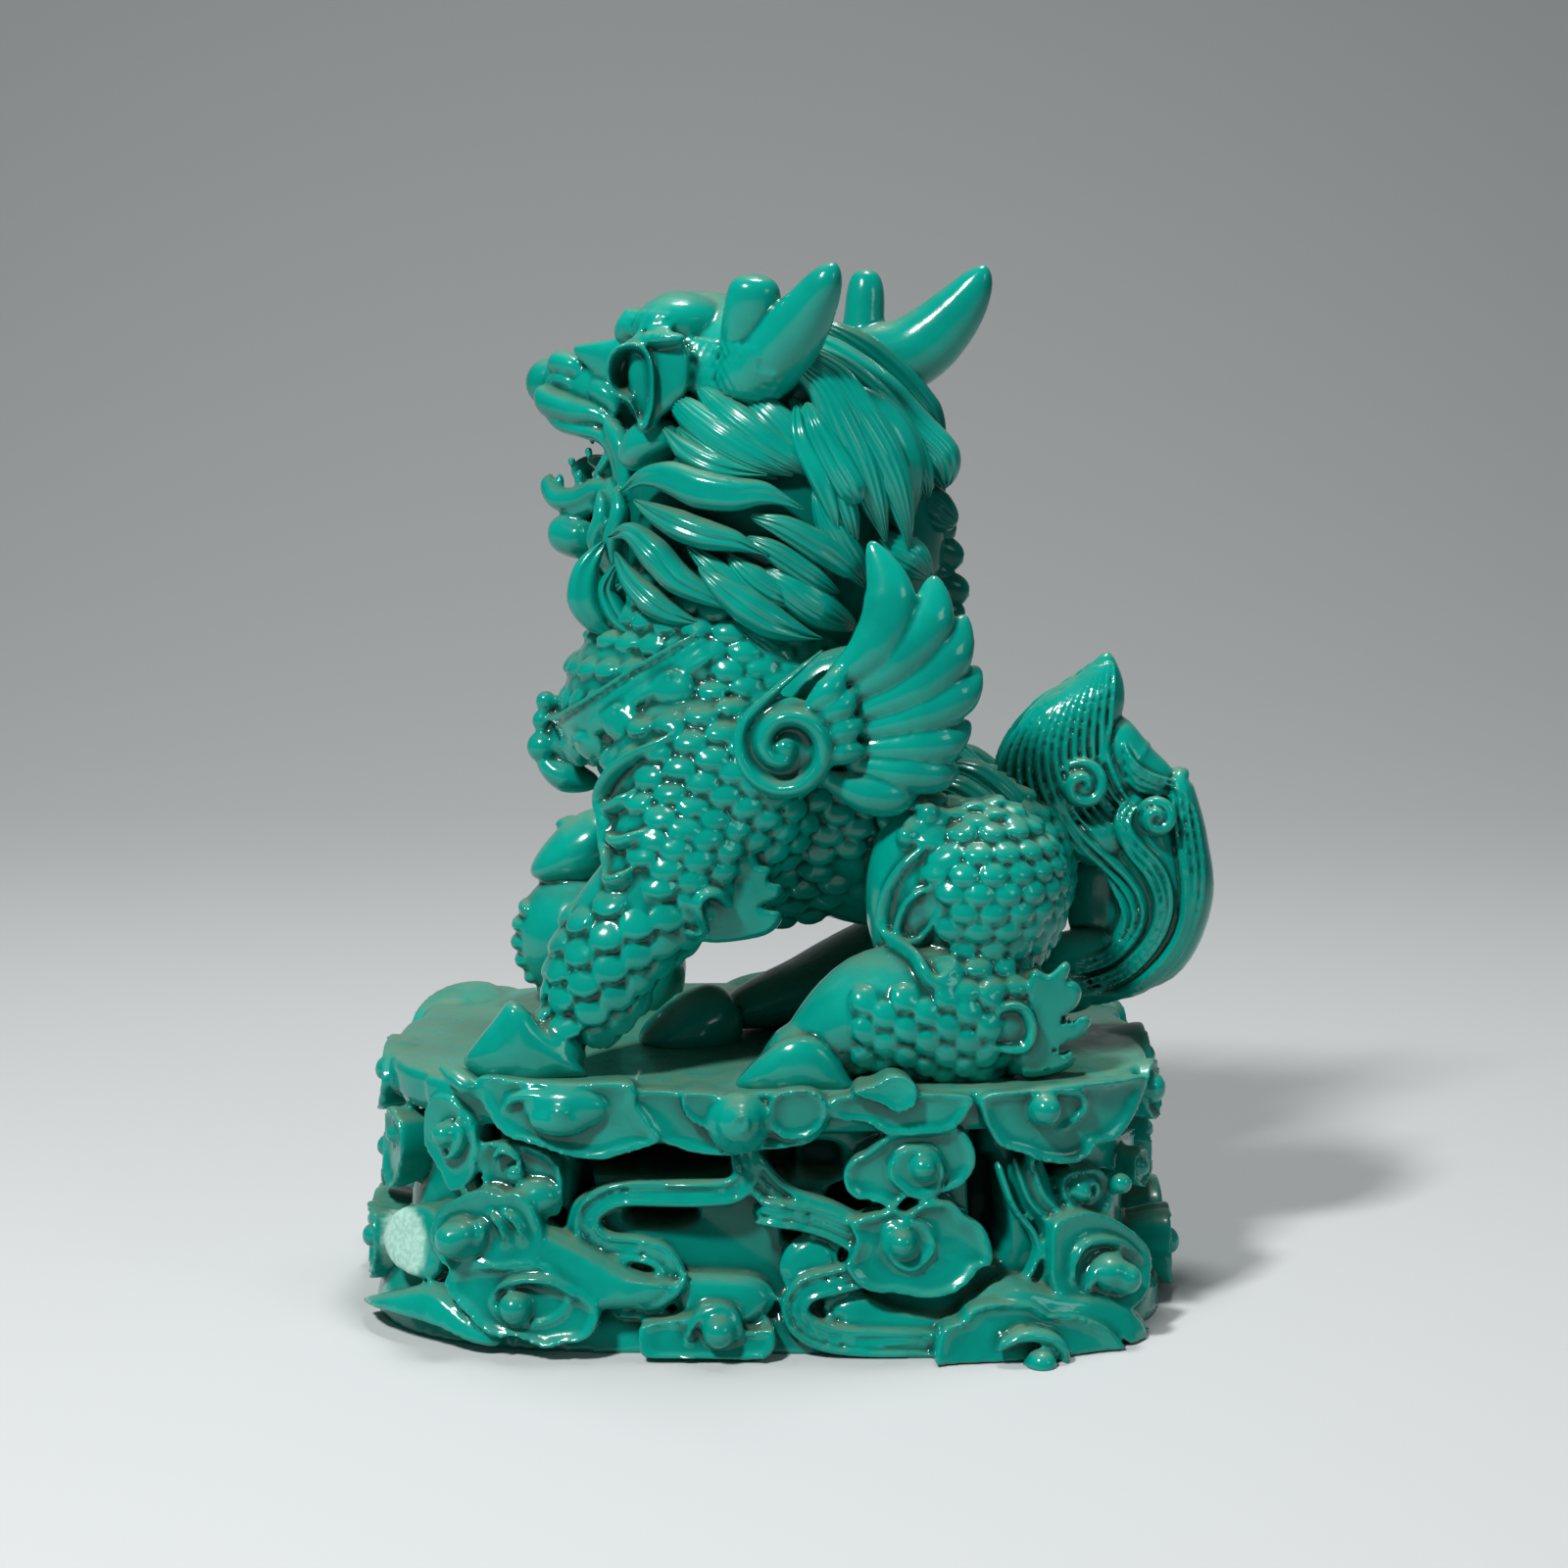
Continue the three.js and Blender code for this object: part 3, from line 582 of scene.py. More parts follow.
@dataclass(frozen=True)
class Wall:
    """The plinth's outer envelope, which leans in from the foot to the platform's edge."""

    length: float = 74.6
    depth: float = 52.0
    top_length: float = 68.4
    top_depth: float = 45.0
    height: float = PLATFORM_TOP
    lean: float = 0.8
    step: float = 0.4
    hollow: float = 0.9
    squareness: float = 3.4

    def halves(self, z: np.ndarray) -> tuple[np.ndarray, np.ndarray]:
        """Half the envelope's length and depth at heights."""
        share = z / self.height
        swell = self.hollow * np.sin(np.pi * np.clip(share, 0, 1))
        foot, top = self.lean, self.step
        half_length = (self.length / 2 - foot) * (1 - share) + (self.top_length / 2 - top) * share - swell
        half_depth = (self.depth / 2 - foot) * (1 - share) + (self.top_depth / 2 - top) * share - swell
        return half_length, half_depth

    def reach(self, x: np.ndarray, y: np.ndarray, a: np.ndarray, b: np.ndarray) -> np.ndarray:
        """How many times x and y go into a rounded oblong with half-sizes a and b."""
        p = self.squareness
        return (np.abs(x / a) ** p + np.abs(y / b) ** p) ** (-1 / p)

    def point(self, angle: np.ndarray, z: np.ndarray, out: np.ndarray) -> np.ndarray:
        """Places on the envelope.

        Args:
            angle: angles round the plinth in radians.
            z: heights.
            out: how far each place stands off the envelope.

        Returns:
            The places.
        """
        a, b = self.halves(z)
        c, s = np.cos(angle), np.sin(angle)
        p = self.squareness
        reach = self.reach(c, s, a, b)
        x, y = c * reach, s * reach
        nx = np.sign(x) * np.abs(x / a) ** (p - 1) / a
        ny = np.sign(y) * np.abs(y / b) ** (p - 1) / b
        size = np.maximum(np.hypot(nx, ny), 1e-9)
        return np.stack([x + nx / size * out, y + ny / size * out, z], axis=1)

    def rounds(self) -> tuple[np.ndarray, np.ndarray]:
        """Angles round the plinth, and the distance run to each at half height."""
        angle = np.linspace(0, 2 * np.pi, 1441)
        edge = self.point(angle, np.full_like(angle, self.height / 2), np.zeros_like(angle))
        return angle, np.concatenate([[0], np.cumsum(np.linalg.norm(np.diff(edge, axis=0), axis=1))])

    def patch(self, degrees: float, z: float, spin: float, lean: float) -> Map:
        """A little map of the wall round one place.

        Args:
            degrees: the place's angle round the plinth.
            z: its height.
            spin: turns the map, in degrees.
            lean: leans its top outward, in degrees.

        Returns:
            A function from sideways, upward and outward figures to places.
        """
        angle, run = self.rounds()
        start = np.interp(math.radians(degrees), angle, run)
        turn, tilt = math.radians(spin), math.tan(math.radians(lean))

        def onto(x: np.ndarray, y: np.ndarray, out: np.ndarray) -> np.ndarray:
            """Places on the wall."""
            level = x * math.cos(turn) - y * math.sin(turn)
            rise = x * math.sin(turn) + y * math.cos(turn)
            where = np.interp((start + level) % run[-1], run, angle)
            return self.point(where, z + rise, out + tilt * rise)

        return onto


@dataclass(frozen=True)
class Sight:
    """The photograph's camera, which turns figures read off its 1600 by 1600 frame into places.

    Its last two fields are for places on the plinth's wall: how many steps find one, and how near to the
    wall's ends it may lie.
    """

    at: tuple[float, float, float] = (1.4, -265.4, 82.9)
    pitch: float = 8.0
    focal: float = 3000.0
    middle: float = 800.0
    rounds: int = 24
    corner: float = 0.985

    def ways(self, px: np.ndarray, py: np.ndarray) -> np.ndarray:
        """Directions through places in the frame, one millimetre along Y."""
        t = math.radians(self.pitch)
        right, down = (px - self.middle) / self.focal, (py - self.middle) / self.focal
        along = math.cos(t) - down * math.sin(t)
        drop = -math.sin(t) - down * math.cos(t)
        return np.stack([right / along, np.ones_like(right), drop / along], axis=1)

    def on_wall(
        self, wall: Wall, px: np.ndarray, py: np.ndarray, out: np.ndarray, stand: float
    ) -> np.ndarray:
        """Places off the plinth's envelope that show at places in the frame.

        Args:
            wall: the envelope.
            px: places in the frame, to the right.
            py: places in the frame, downward.
            out: how far each place stands off the envelope.
            stand: how far off it a place stands that shows exactly there.

        Returns:
            The places.
        """
        way = self.ways(px, py)
        y = np.full_like(way[:, 0], -wall.depth / 2)
        for _ in range(self.rounds):
            x = self.at[0] + way[:, 0] * (y - self.at[1])
            z = self.at[2] + way[:, 2] * (y - self.at[1])
            a, b = wall.halves(z)
            share = np.minimum(np.abs(x / (a + stand)), self.corner)
            y += 0.5 * (-(b + stand) * (1 - share**wall.squareness) ** (1 / wall.squareness) - y)
        return wall.point(np.arctan2(y, x), np.maximum(z, 0.05), out)

    def at_depth(self, px: float, py: float, y: float) -> tuple[float, float, float]:
        """The place at depth y that shows at (px, py), its height counted from the platform."""
        way = self.ways(np.array([px]), np.array([py]))[0] * (y - self.at[1])
        return (self.at[0] + way[0], y, self.at[2] + way[2] - PLATFORM_TOP)

    def seen(self, under: BVHTree, px: float, py: float) -> tuple[Vector | None, Vector | None]:
        """The place on a skin that shows at (px, py) and its outward direction, or twice None beside it."""
        start = Vector(self.at) - Vector((0, 0, PLATFORM_TOP))
        way = Vector(self.at_depth(px, py, 0)) - start
        return under.ray_cast(start, way.normalized(), RAY)[:2]

    def frame_of(self, places: np.ndarray) -> tuple[np.ndarray, np.ndarray]:
        """Where places show in the frame."""
        t = math.radians(self.pitch)
        off = places - self.at
        depth = off[:, 1] * math.cos(t) - off[:, 2] * math.sin(t)
        down = -off[:, 1] * math.sin(t) - off[:, 2] * math.cos(t)
        return self.middle + self.focal * off[:, 0] / depth, self.middle + self.focal * down / depth


@dataclass(frozen=True)
class Plate:
    """A carved cloud by its outline in the photograph's frame, listed clockwise.

    It is a dished petal with a thin rim.
    """

    rim: Points
    proud: float = 1.6
    dish: float = 1.0
    back: float = 4.5

    def carve(self, clay: Clay, wall: Wall, sight: Sight) -> None:
        """Adds the plate to the wall."""
        x0, y0 = np.mean(self.rim, axis=0)
        p, low = self.proud, self.proud - self.dish
        profile = [(0, -self.back), (0.8, -self.back * 0.8), (0.93, -self.back * 0.3), (0.99, p * 0.3),
                   (1, p * 0.75), (0.985, p), (0.94, p), (0.9, p - self.dish * 0.3),
                   (0.83, p - self.dish * 0.7), (0.7, low + self.dish * 0.06), (0.4, low), (0, low)]

        def onto(x: np.ndarray, y: np.ndarray, out: np.ndarray) -> np.ndarray:
            """Places off the wall, whose front shows where the frame has it."""
            return sight.on_wall(wall, x0 + x, y0 + y, out, p)

        clay.dish(onto, outline_of(self.rim, (x0, y0)), profile, around=160)


@dataclass(frozen=True)
class Cloud:
    """A carved cloud: a lobed dished plate, a smaller one on it and a round knob.

    Its floor is the height of the dished middle as a share of the rim's, and its step is the height of the
    smaller plate's middle over that.
    """

    angle: float
    z: float
    wide: float
    high: float
    lobes: int = 5
    phase: float = 0.3
    dent: float = 0.16
    spin: float = 0.0
    lean: float = 0.0
    proud: float = 1.4
    inner: tuple[float, float, float, float] | None = None
    knob: tuple[float, float, float] | None = None
    floor: float = 0.36
    step: float = 0.36

    def outline(self, wide: float, high: float, lobes: int, phase: float) -> Outline:
        """A scalloped oval about its own middle."""

        def at(angle: np.ndarray) -> tuple[np.ndarray, np.ndarray]:
            """The rim at angles."""
            warped = angle + 0.25 * np.sin(angle * 2 + phase * 3)
            lobe = 1 - self.dent * (1 - np.abs(np.sin((warped * lobes + phase) / 2)) ** 0.7)
            return np.cos(angle) * lobe * wide / 2, np.sin(angle) * lobe * high / 2

        return at

    def carve(self, clay: Clay, wall: Wall) -> None:
        """Adds the cloud's plates and knob."""
        onto = wall.patch(self.angle, self.z, self.spin, self.lean)
        p, lift = self.proud, self.proud * self.floor
        plate = [(0, -5), (0.78, -3.2), (0.95, -0.6), (1, p * 0.55), (0.99, p * 0.9), (0.95, p),
                 (0.9, p * 0.93), (0.8, p * 0.62), (0.6, p * 0.42), (0.3, lift), (0, lift)]
        clay.dish(onto, self.outline(self.wide, self.high, self.lobes, self.phase), plate)
        if self.inner:
            dx, dy, wide, high = self.inner
            shifted = self.moved(onto, dx, dy)
            step = [(0, -1), (0.9, 0), (1, lift + 0.35), (0.99, lift + 0.75), (0.93, lift + 0.85),
                    (0.84, lift + 0.6), (0.6, lift + 0.4), (0, lift + self.step)]
            clay.dish(shifted, self.outline(wide, high, max(self.lobes - 1, 3), self.phase + 1), step, 48)
            lift += self.step
        if self.knob:
            dx, dy, radius = self.knob
            shifted = self.moved(onto, dx, dy)
            ball = [(0, -1), (0.9, -0.2), (1, lift + radius * 0.25), (0.95, lift + radius * 0.55),
                    (0.8, lift + radius * 0.86), (0.55, lift + radius * 1.08), (0.28, lift + radius * 1.2),
                    (0, lift + radius * 1.24)]
            clay.dish(shifted, lambda angle: (np.cos(angle) * radius, np.sin(angle) * radius), ball, 24)

    @staticmethod
    def moved(onto: Map, dx: float, dy: float) -> Map:
        """The same map with its middle set off by dx and dy."""
        return lambda x, y, out: onto(x + dx, y + dy, out)


@dataclass
class Plinth(Piece):
    """The cloud plinth: platform, waist, running water and carved clouds.

    Everything that shows from the front is placed by figures read off the photograph's frame.
    """

    voxel: float = 0.27
    soften: int = 1
    hollow: float = 0.26
    wall: Wall = field(default_factory=Wall)
    sight: Sight = field(default_factory=Sight)
    platform_thickness: float = 4.0
    waist: float = 1.5
    chip: tuple[float, float, float, float] = (412, 1268, 23, 38)

    name = "plinth"

    plates: tuple[Plate, ...] = (
        Plate(((474, 1098), (520, 1104), (570, 1106), (632, 1107), (638, 1128), (648, 1141), (657, 1153),
            (665, 1165), (645, 1173), (620, 1180), (597, 1185), (563, 1180), (526, 1168), (503, 1161),
            (490, 1150), (480, 1134), (472, 1116)), 2.0, 0.54),
        Plate(((634, 1115), (690, 1115), (740, 1116), (800, 1114), (828, 1113), (847, 1121), (851, 1138),
            (845, 1154), (828, 1168), (800, 1173), (768, 1176), (740, 1181), (700, 1177), (683, 1171),
            (668, 1166), (656, 1148), (641, 1135)), 1.5, 0.48),
        Plate(((685, 1122), (692, 1116), (735, 1121), (729, 1139), (723, 1154), (709, 1151), (692, 1141)),
            2.5, 0.42),
        Plate(((792, 1118), (826, 1113), (846, 1121), (850, 1138), (840, 1155), (815, 1165), (795, 1160),
            (785, 1140)), 2.3, 0.54),
        Plate(((856, 1122), (914, 1117), (960, 1117), (1006, 1120), (1003, 1136), (994, 1148), (978, 1156),
            (958, 1159), (937, 1160), (917, 1159), (905, 1154), (895, 1148), (872, 1145), (854, 1141)), 1.9,
            0.54),
        Plate(((880, 1116), (905, 1108), (927, 1098), (950, 1107), (953, 1122), (944, 1133), (930, 1137),
            (914, 1128)), 2.7, 0.3),
        Plate(((1018, 1119), (1060, 1113), (1110, 1106), (1150, 1102), (1176, 1098), (1171, 1124),
            (1163, 1144), (1150, 1162), (1134, 1168), (1127, 1177), (1114, 1186), (1098, 1188),
            (1077, 1185), (1064, 1179), (1050, 1175), (1036, 1170), (1026, 1156), (1019, 1140)), 2.0, 0.66),
        Plate(((950, 1149), (986, 1152), (1002, 1163), (1008, 1182), (1003, 1199), (990, 1212), (968, 1220),
            (950, 1224), (934, 1223), (927, 1230), (917, 1233), (907, 1230), (896, 1227), (881, 1225),
            (870, 1217), (866, 1206), (867, 1194), (877, 1184), (889, 1178), (902, 1169), (920, 1156)), 1.5,
            0.66),
        Plate(((946, 1172), (965, 1176), (975, 1190), (973, 1207), (960, 1220), (944, 1224), (930, 1216),
            (918, 1205), (917, 1190), (928, 1177)), 1.7, 0.36),
        Plate(((874, 1250), (889, 1243), (908, 1239), (922, 1235), (937, 1240), (953, 1230), (970, 1227),
            (988, 1230), (1001, 1243), (1017, 1251), (1026, 1268), (1028, 1289), (1014, 1296), (1005, 1307),
            (988, 1320), (963, 1326), (940, 1324), (923, 1321), (905, 1321), (888, 1316), (876, 1306),
            (869, 1293), (876, 1281), (881, 1267)), 1.9, 0.72),
        Plate(((914, 1252), (930, 1248), (950, 1249), (963, 1258), (968, 1272), (962, 1285), (949, 1296),
            (936, 1298), (921, 1291), (912, 1278), (910, 1265)), 1.9, 0.36),
        Plate(((1000, 1350), (1010, 1338), (1028, 1331), (1050, 1330), (1076, 1331), (1094, 1342),
            (1117, 1343), (1139, 1349), (1158, 1362), (1171, 1384), (1160, 1391), (1100, 1394),
            (1040, 1397), (978, 1399), (974, 1375), (982, 1357)), 3.0, 0.6),
        Plate(((437, 1302), (446, 1290), (462, 1285), (477, 1290), (492, 1292), (516, 1290), (538, 1292),
            (552, 1303), (568, 1314), (580, 1324), (593, 1334), (596, 1345), (589, 1362), (576, 1370),
            (555, 1373), (541, 1377), (525, 1373), (507, 1365), (488, 1365), (471, 1356), (456, 1340),
            (443, 1325), (436, 1313)), 2.6, 0.72),
        Plate(((483, 1324), (491, 1312), (508, 1308), (530, 1306), (551, 1312), (566, 1324), (560, 1340),
            (545, 1350), (520, 1353), (498, 1347), (486, 1336)), 2.3, 0.54),
        Plate(((486, 1170), (505, 1166), (528, 1168), (551, 1176), (567, 1191), (571, 1217), (567, 1240),
            (545, 1243), (527, 1238), (508, 1226), (490, 1212)), 0.4, 0.54),
        Plate(((430, 1236), (441, 1227), (457, 1218), (476, 1214), (491, 1219), (508, 1217), (520, 1224),
            (529, 1240), (536, 1262), (530, 1284), (500, 1292), (460, 1296), (436, 1290), (424, 1262)), 2.4,
            0.3),
        Plate(((431, 1124), (448, 1119), (466, 1134), (478, 1154), (476, 1200), (455, 1217), (441, 1193),
            (427, 1164)), 0.9, 0.3),
        Plate(((645, 1354), (668, 1350), (698, 1345), (711, 1334), (733, 1333), (750, 1343), (756, 1360),
            (774, 1362), (789, 1356), (792, 1374), (780, 1388), (745, 1390), (702, 1388), (672, 1388),
            (646, 1385), (641, 1366)), 2.0, 0.48),
        Plate(((1090, 1252), (1104, 1240), (1124, 1236), (1148, 1243), (1168, 1258), (1180, 1276),
            (1182, 1300), (1176, 1326), (1150, 1340), (1112, 1334), (1090, 1312), (1088, 1280)), 2.0, 0.36),
        Plate(((1088, 1206), (1097, 1197), (1112, 1193), (1130, 1195), (1140, 1214), (1136, 1236),
            (1112, 1238), (1094, 1228)), 0.6, 0.48),
        Plate(((1080, 1176), (1126, 1164), (1160, 1150), (1176, 1160), (1172, 1188), (1130, 1194),
            (1090, 1192)), -0.8, 0.18),
        Plate(((398, 1238), (416, 1229), (434, 1233), (446, 1252), (445, 1282), (436, 1303), (416, 1302),
            (396, 1288), (388, 1262)), 1.2, -0.4),
        Plate(((496, 1240), (530, 1246), (570, 1262), (610, 1284), (650, 1304), (690, 1312), (676, 1330),
            (640, 1336), (600, 1336), (560, 1322), (500, 1298), (474, 1282), (476, 1258)), 1.1, -1.2),
        Plate(((690, 1302), (735, 1299), (776, 1304), (792, 1325), (770, 1350), (735, 1345), (698, 1340)),
            -0.8, -1.2),
        Plate(((808, 1263), (832, 1258), (850, 1272), (842, 1292), (820, 1298), (804, 1312), (794, 1290)),
            -1.8, -1.6),
        Plate(((842, 1322), (872, 1318), (905, 1332), (960, 1342), (972, 1356), (905, 1360), (862, 1352),
            (838, 1336)), -1.6, -1.5),
        Plate(((980, 1350), (1005, 1322), (1036, 1305), (1080, 1314), (1122, 1318), (1160, 1334),
            (1178, 1360), (1172, 1382), (1139, 1352), (1090, 1342), (1050, 1334), (1005, 1345)), 0.8, -1.6),
        Plate(((366, 1326), (400, 1316), (436, 1312), (470, 1340), (500, 1370), (480, 1372), (440, 1352),
            (396, 1338)), 1.4, -0.8),
    )
    # Each one's place across and down in the frame, its radius and how far its middle stands off.
    knobs: Points = (
        (1081, 1132, 1.42, 2.0), (951, 1191, 1.16, 1.4), (930, 1269, 1.22, 1.8), (1088, 1391, 1.35, 3.6),
        (509, 1334, 1.42, 2.3), (521, 1198, 0.78, 0.6), (442, 1263, 1.6, 3.2), (450, 1260, 1.35, 3.1),
        (446, 1157, 1.15, 1.4), (729, 1359, 1.45, 2.4), (1160, 1303, 1.42, 2.6), (1108, 1216, 0.8, 0.6),
        (1148, 1207, 0.95, 1.2),
    )
    # The same place, how far it stands off, then its half-width and half-height.
    swells: Points = (
        (556, 1142, 1.9, 2.6, 1.4), (566, 1130, 1.5, 3.6, 1.9), (751, 1146, 1.9, 2.7, 2.7),
        (751, 1146, 2.8, 1.95, 1.95), (545, 1222, 0.2, 2.2, 1.6), (456, 1262, 2.3, 2.2, 1.8),
        (1146, 1298, 2.2, 1.8, 1.5),
    )
    # Each line's places in the frame, how far it stands off and its half-width.
    ridges: tuple[tuple[Points, float, float], ...] = (
        (((502, 1134), (509, 1122), (525, 1117), (545, 1119), (562, 1129), (573, 1141)), 1.7, 0.45),
        (((538, 1137), (547, 1133), (556, 1137), (552, 1146)), 2.9, 0.35),
        (((1062, 1126), (1078, 1112), (1096, 1113), (1110, 1115), (1116, 1127), (1108, 1142), (1091, 1154)),
            1.5, 0.32),
        (((738, 1134), (751, 1128), (766, 1134), (770, 1147), (762, 1160), (748, 1163), (735, 1156),
            (733, 1146)), 3.0, 0.3),
        (((743, 1143), (751, 1138), (759, 1144), (757, 1153), (748, 1155)), 4.3, 0.22),
        (((502, 1188), (501, 1177), (511, 1174), (523, 1182), (530, 1193)), 0.7, 0.3),
        (((467, 1242), (475, 1252), (472, 1266), (464, 1276)), 2.6, 0.3),
        (((480, 1236), (494, 1250), (498, 1270)), 2.4, 0.32),
        (((493, 1234), (511, 1247), (518, 1270)), 2.3, 0.32),
        (((454, 1138), (464, 1153), (461, 1170), (451, 1180), (440, 1176)), 1.2, 0.3),
        (((696, 1372), (698, 1357), (709, 1342), (728, 1333), (744, 1339), (753, 1354), (752, 1370)), 2.0,
            0.42),
        (((1039, 1381), (1050, 1370), (1068, 1361), (1091, 1362), (1105, 1371), (1111, 1385), (1110, 1397)),
            3.4, 0.6),
        (((1108, 1312), (1109, 1285), (1119, 1268), (1139, 1264), (1160, 1272), (1174, 1288)), 1.9, 0.36),
        (((1125, 1318), (1128, 1298), (1140, 1282), (1156, 1278)), 2.1, 0.36),
        (((1096, 1218), (1104, 1205), (1117, 1205), (1122, 1216), (1114, 1228)), 0.5, 0.3),
        (((484, 1324), (491, 1312), (508, 1306), (530, 1305), (552, 1311), (572, 1326)), 2.6, 0.35),
        (((476, 1122), (470, 1108), (455, 1096), (440, 1086)), 1.5, 0.8),
        (((640, 1335), (668, 1329), (690, 1314), (700, 1296)), 0.6, 0.5),
    )
    # Each stream's places in the frame, its half-width there and how far it stands off.
    water: tuple[tuple[Points, float, float], ...] = (
        (((756, 1172), (762, 1195), (750, 1213), (720, 1217), (680, 1217), (640, 1217), (618, 1225),
            (604, 1240), (608, 1260), (626, 1271), (655, 1274), (678, 1282), (688, 1300), (678, 1320),
            (655, 1330), (630, 1332)), 11.5, -0.6),
        (((770, 1236), (800, 1239), (826, 1243), (852, 1252), (876, 1266), (889, 1282), (880, 1297),
            (852, 1306), (824, 1314), (811, 1331), (818, 1351), (842, 1364), (880, 1369), (930, 1370),
            (985, 1371)), 12.5, -0.2),
        (((1030, 1180), (1036, 1200), (1046, 1225), (1064, 1248), (1072, 1274), (1064, 1300), (1050, 1322)),
            19.0, -0.3),
        (((757, 1176), (780, 1208), (806, 1228), (842, 1240), (868, 1256), (884, 1276)), 15.0, -0.75),
    )
    # Each pit's place in the frame, its half-width and half-height there, and its depth.
    pits: Points = (
        (668, 1193, 78, 13, 8), (672, 1248, 34, 10, 5), (640, 1291, 34, 9, 5), (796, 1193, 14, 20, 3),
        (836, 1192, 26, 18, 2.2), (866, 1240, 20, 20, 6), (1016, 1240, 18, 52, 4), (1084, 1212, 13, 30, 5),
        (828, 1266, 26, 9, 5), (486, 1192, 9, 34, 4), (936, 1236, 30, 8, 6), (1006, 1176, 8, 26, 4),
        (590, 1225, 10, 26, 3), (560, 1250, 16, 8, 3),
    )
    side_clouds: tuple[Cloud, ...] = (
        Cloud(341, 20.0, 5.6, 5.4, 3, 0.3, 0.04, lean=-4, proud=1.8, knob=(0, 0.2, 1.5)),
        Cloud(201, 15.0, 6.0, 7.4, 4, 1.2, 0.14, proud=1.2, knob=(0, 1.2, 0.8)),
        Cloud(337, 13.6, 3.6, 3.6, 3, 0.2, 0.05, proud=1.3, knob=(0, 0, 0.9)),
        Cloud(196, 5.8, 6.4, 7.0, 4, 0.8, 0.14, lean=12, proud=1.3, knob=(0, 0.4, 1.1)),
        Cloud(351, 4.2, 8.6, 7.4, 4, 0.6, 0.12, lean=10, proud=1.3, knob=(0, 0.2, 1.3)),
        Cloud(6, 12.0, 10.0, 7.6, 5, 0.9, 0.12, proud=1.3, inner=(1.0, 0.2, 4.6, 4.0),
            knob=(1.2, 0.2, 1.1)),
        Cloud(178, 11.6, 10.0, 7.6, 5, 1.5, 0.12, proud=1.3, inner=(1.0, 0.2, 4.6, 4.0),
            knob=(1.2, 0.2, 1.1)),
        Cloud(187, 19.8, 12.0, 6.6, 4, 0.5, 0.1, lean=-6, proud=1.4, knob=(1.2, 0.6, 1.2)),
        Cloud(2, 19.8, 12.0, 6.6, 4, 1.5, 0.1, lean=-6, proud=1.4, knob=(-1.2, 0.6, 1.2)),
        Cloud(176, 3.8, 11.0, 7.2, 4, 0.5, 0.12, lean=12, proud=1.4, knob=(1.2, 0.6, 1.2)),
        Cloud(9, 3.8, 11.0, 7.2, 4, 1.5, 0.12, lean=12, proud=1.4, knob=(-1.2, 0.6, 1.2)),
    )

    def build(self) -> None:
        """Makes the plinth."""
        clay = Clay()
        self.slab(clay)
        self.core(clay)
        for plate in self.plates:
            plate.carve(clay, self.wall, self.sight)
        for px, py, radius, out in self.knobs:
            self.knob(clay, px, py, out, (radius, radius, radius * 1.1))
        for px, py, out, level, rise in self.swells:
            self.knob(clay, px, py, out, (level, rise, 1.5))
        for points, out, half in self.ridges:
            low, way = self.lifted(points, out, len(points) * 4)
            high = [0.6, half * 2.0, half * 1.8, half]
            wide = [half * 0.5, half, half, half * 0.5]
            clay.drawn(low, high, wide, side=way, around=14, rows=len(low) * 2, blunt=3)
        for points, half, out in self.water:
            self.stream(clay, points, half, out)
        for cloud in self.side_clouds + self.back_clouds():
            cloud.carve(clay, self.wall)
        self.finish(clay, lift=0)

    def lifted(
        self, points: Figures, out: float, count: int, aside: float = 0.0
    ) -> tuple[np.ndarray, np.ndarray]:
        """A curve through places in the frame laid on the wall, moved aside by a distance in the frame.

        Args:
            points: places in the photograph's frame.
            out: how far the curve stands off the envelope.
            count: how many places to give back.
            aside: how far to move it sideways in the frame.

        Returns:
            The places and the outward directions there.
        """
        flat, way = curve_at(points, np.linspace(0, 1, count))
        px, py = flat[:, 0] + way[:, 1] * aside, flat[:, 1] - way[:, 0] * aside
        near = self.sight.on_wall(self.wall, px, py, np.full_like(px, out), out)
        return near, self.sight.on_wall(self.wall, px, py, np.full_like(px, out + 1.0), out) - near

    def knob(self, clay: Clay, px: float, py: float, out: float, radii: Sequence[float]) -> None:
        """A round knob or swelling whose middle stands off the envelope by out."""
        where, way = self.lifted([(px, py), (px + 1, py)], out, 2)
        facing = unit(way[0])
        level = unit(np.cross((0, 0, 1), facing))
        clay.egg(where[0], radii, np.stack([level, np.cross(facing, level), facing]), around=28, rows=20)

    def slab(self, clay: Clay) -> None:
        """The platform, with leaf-shaped steps round its edge where no cloud hangs over it."""
        half_length, half_depth = self.wall.top_length / 2, self.wall.top_depth / 2
        top, under = PLATFORM_TOP, PLATFORM_TOP - self.platform_thickness

        def rim(angle: np.ndarray) -> tuple[np.ndarray, np.ndarray]:
            """The platform's edge at angles."""
            c, s = np.cos(angle), np.sin(angle)
            reach = self.wall.reach(c, s, half_length, half_depth)
            behind = np.clip(smoothstep(-0.4, 0.1, s) + smoothstep(0.6, 0.9, -c), 0, 1)
            saw = (angle * 7 / np.pi + 0.35 * np.sin(angle * 5)) % 1.0
            notch = 1 - 0.03 * behind * np.where(saw > 0.85, (1 - saw) / 0.15, saw / 0.85) ** 2
            return c * reach * notch, s * reach * notch

        profile = [(0, under), (0.9, under), (0.975, under + 0.3), (0.995, under + 1.2), (1, top - 0.9),
                   (0.995, top - 0.2), (0.985, top), (0.9, top), (0.8, top), (0.4, top), (0, top)]
        clay.dish(lambda x, y, z: np.stack([x, y, z], axis=1), rim, profile, 360)

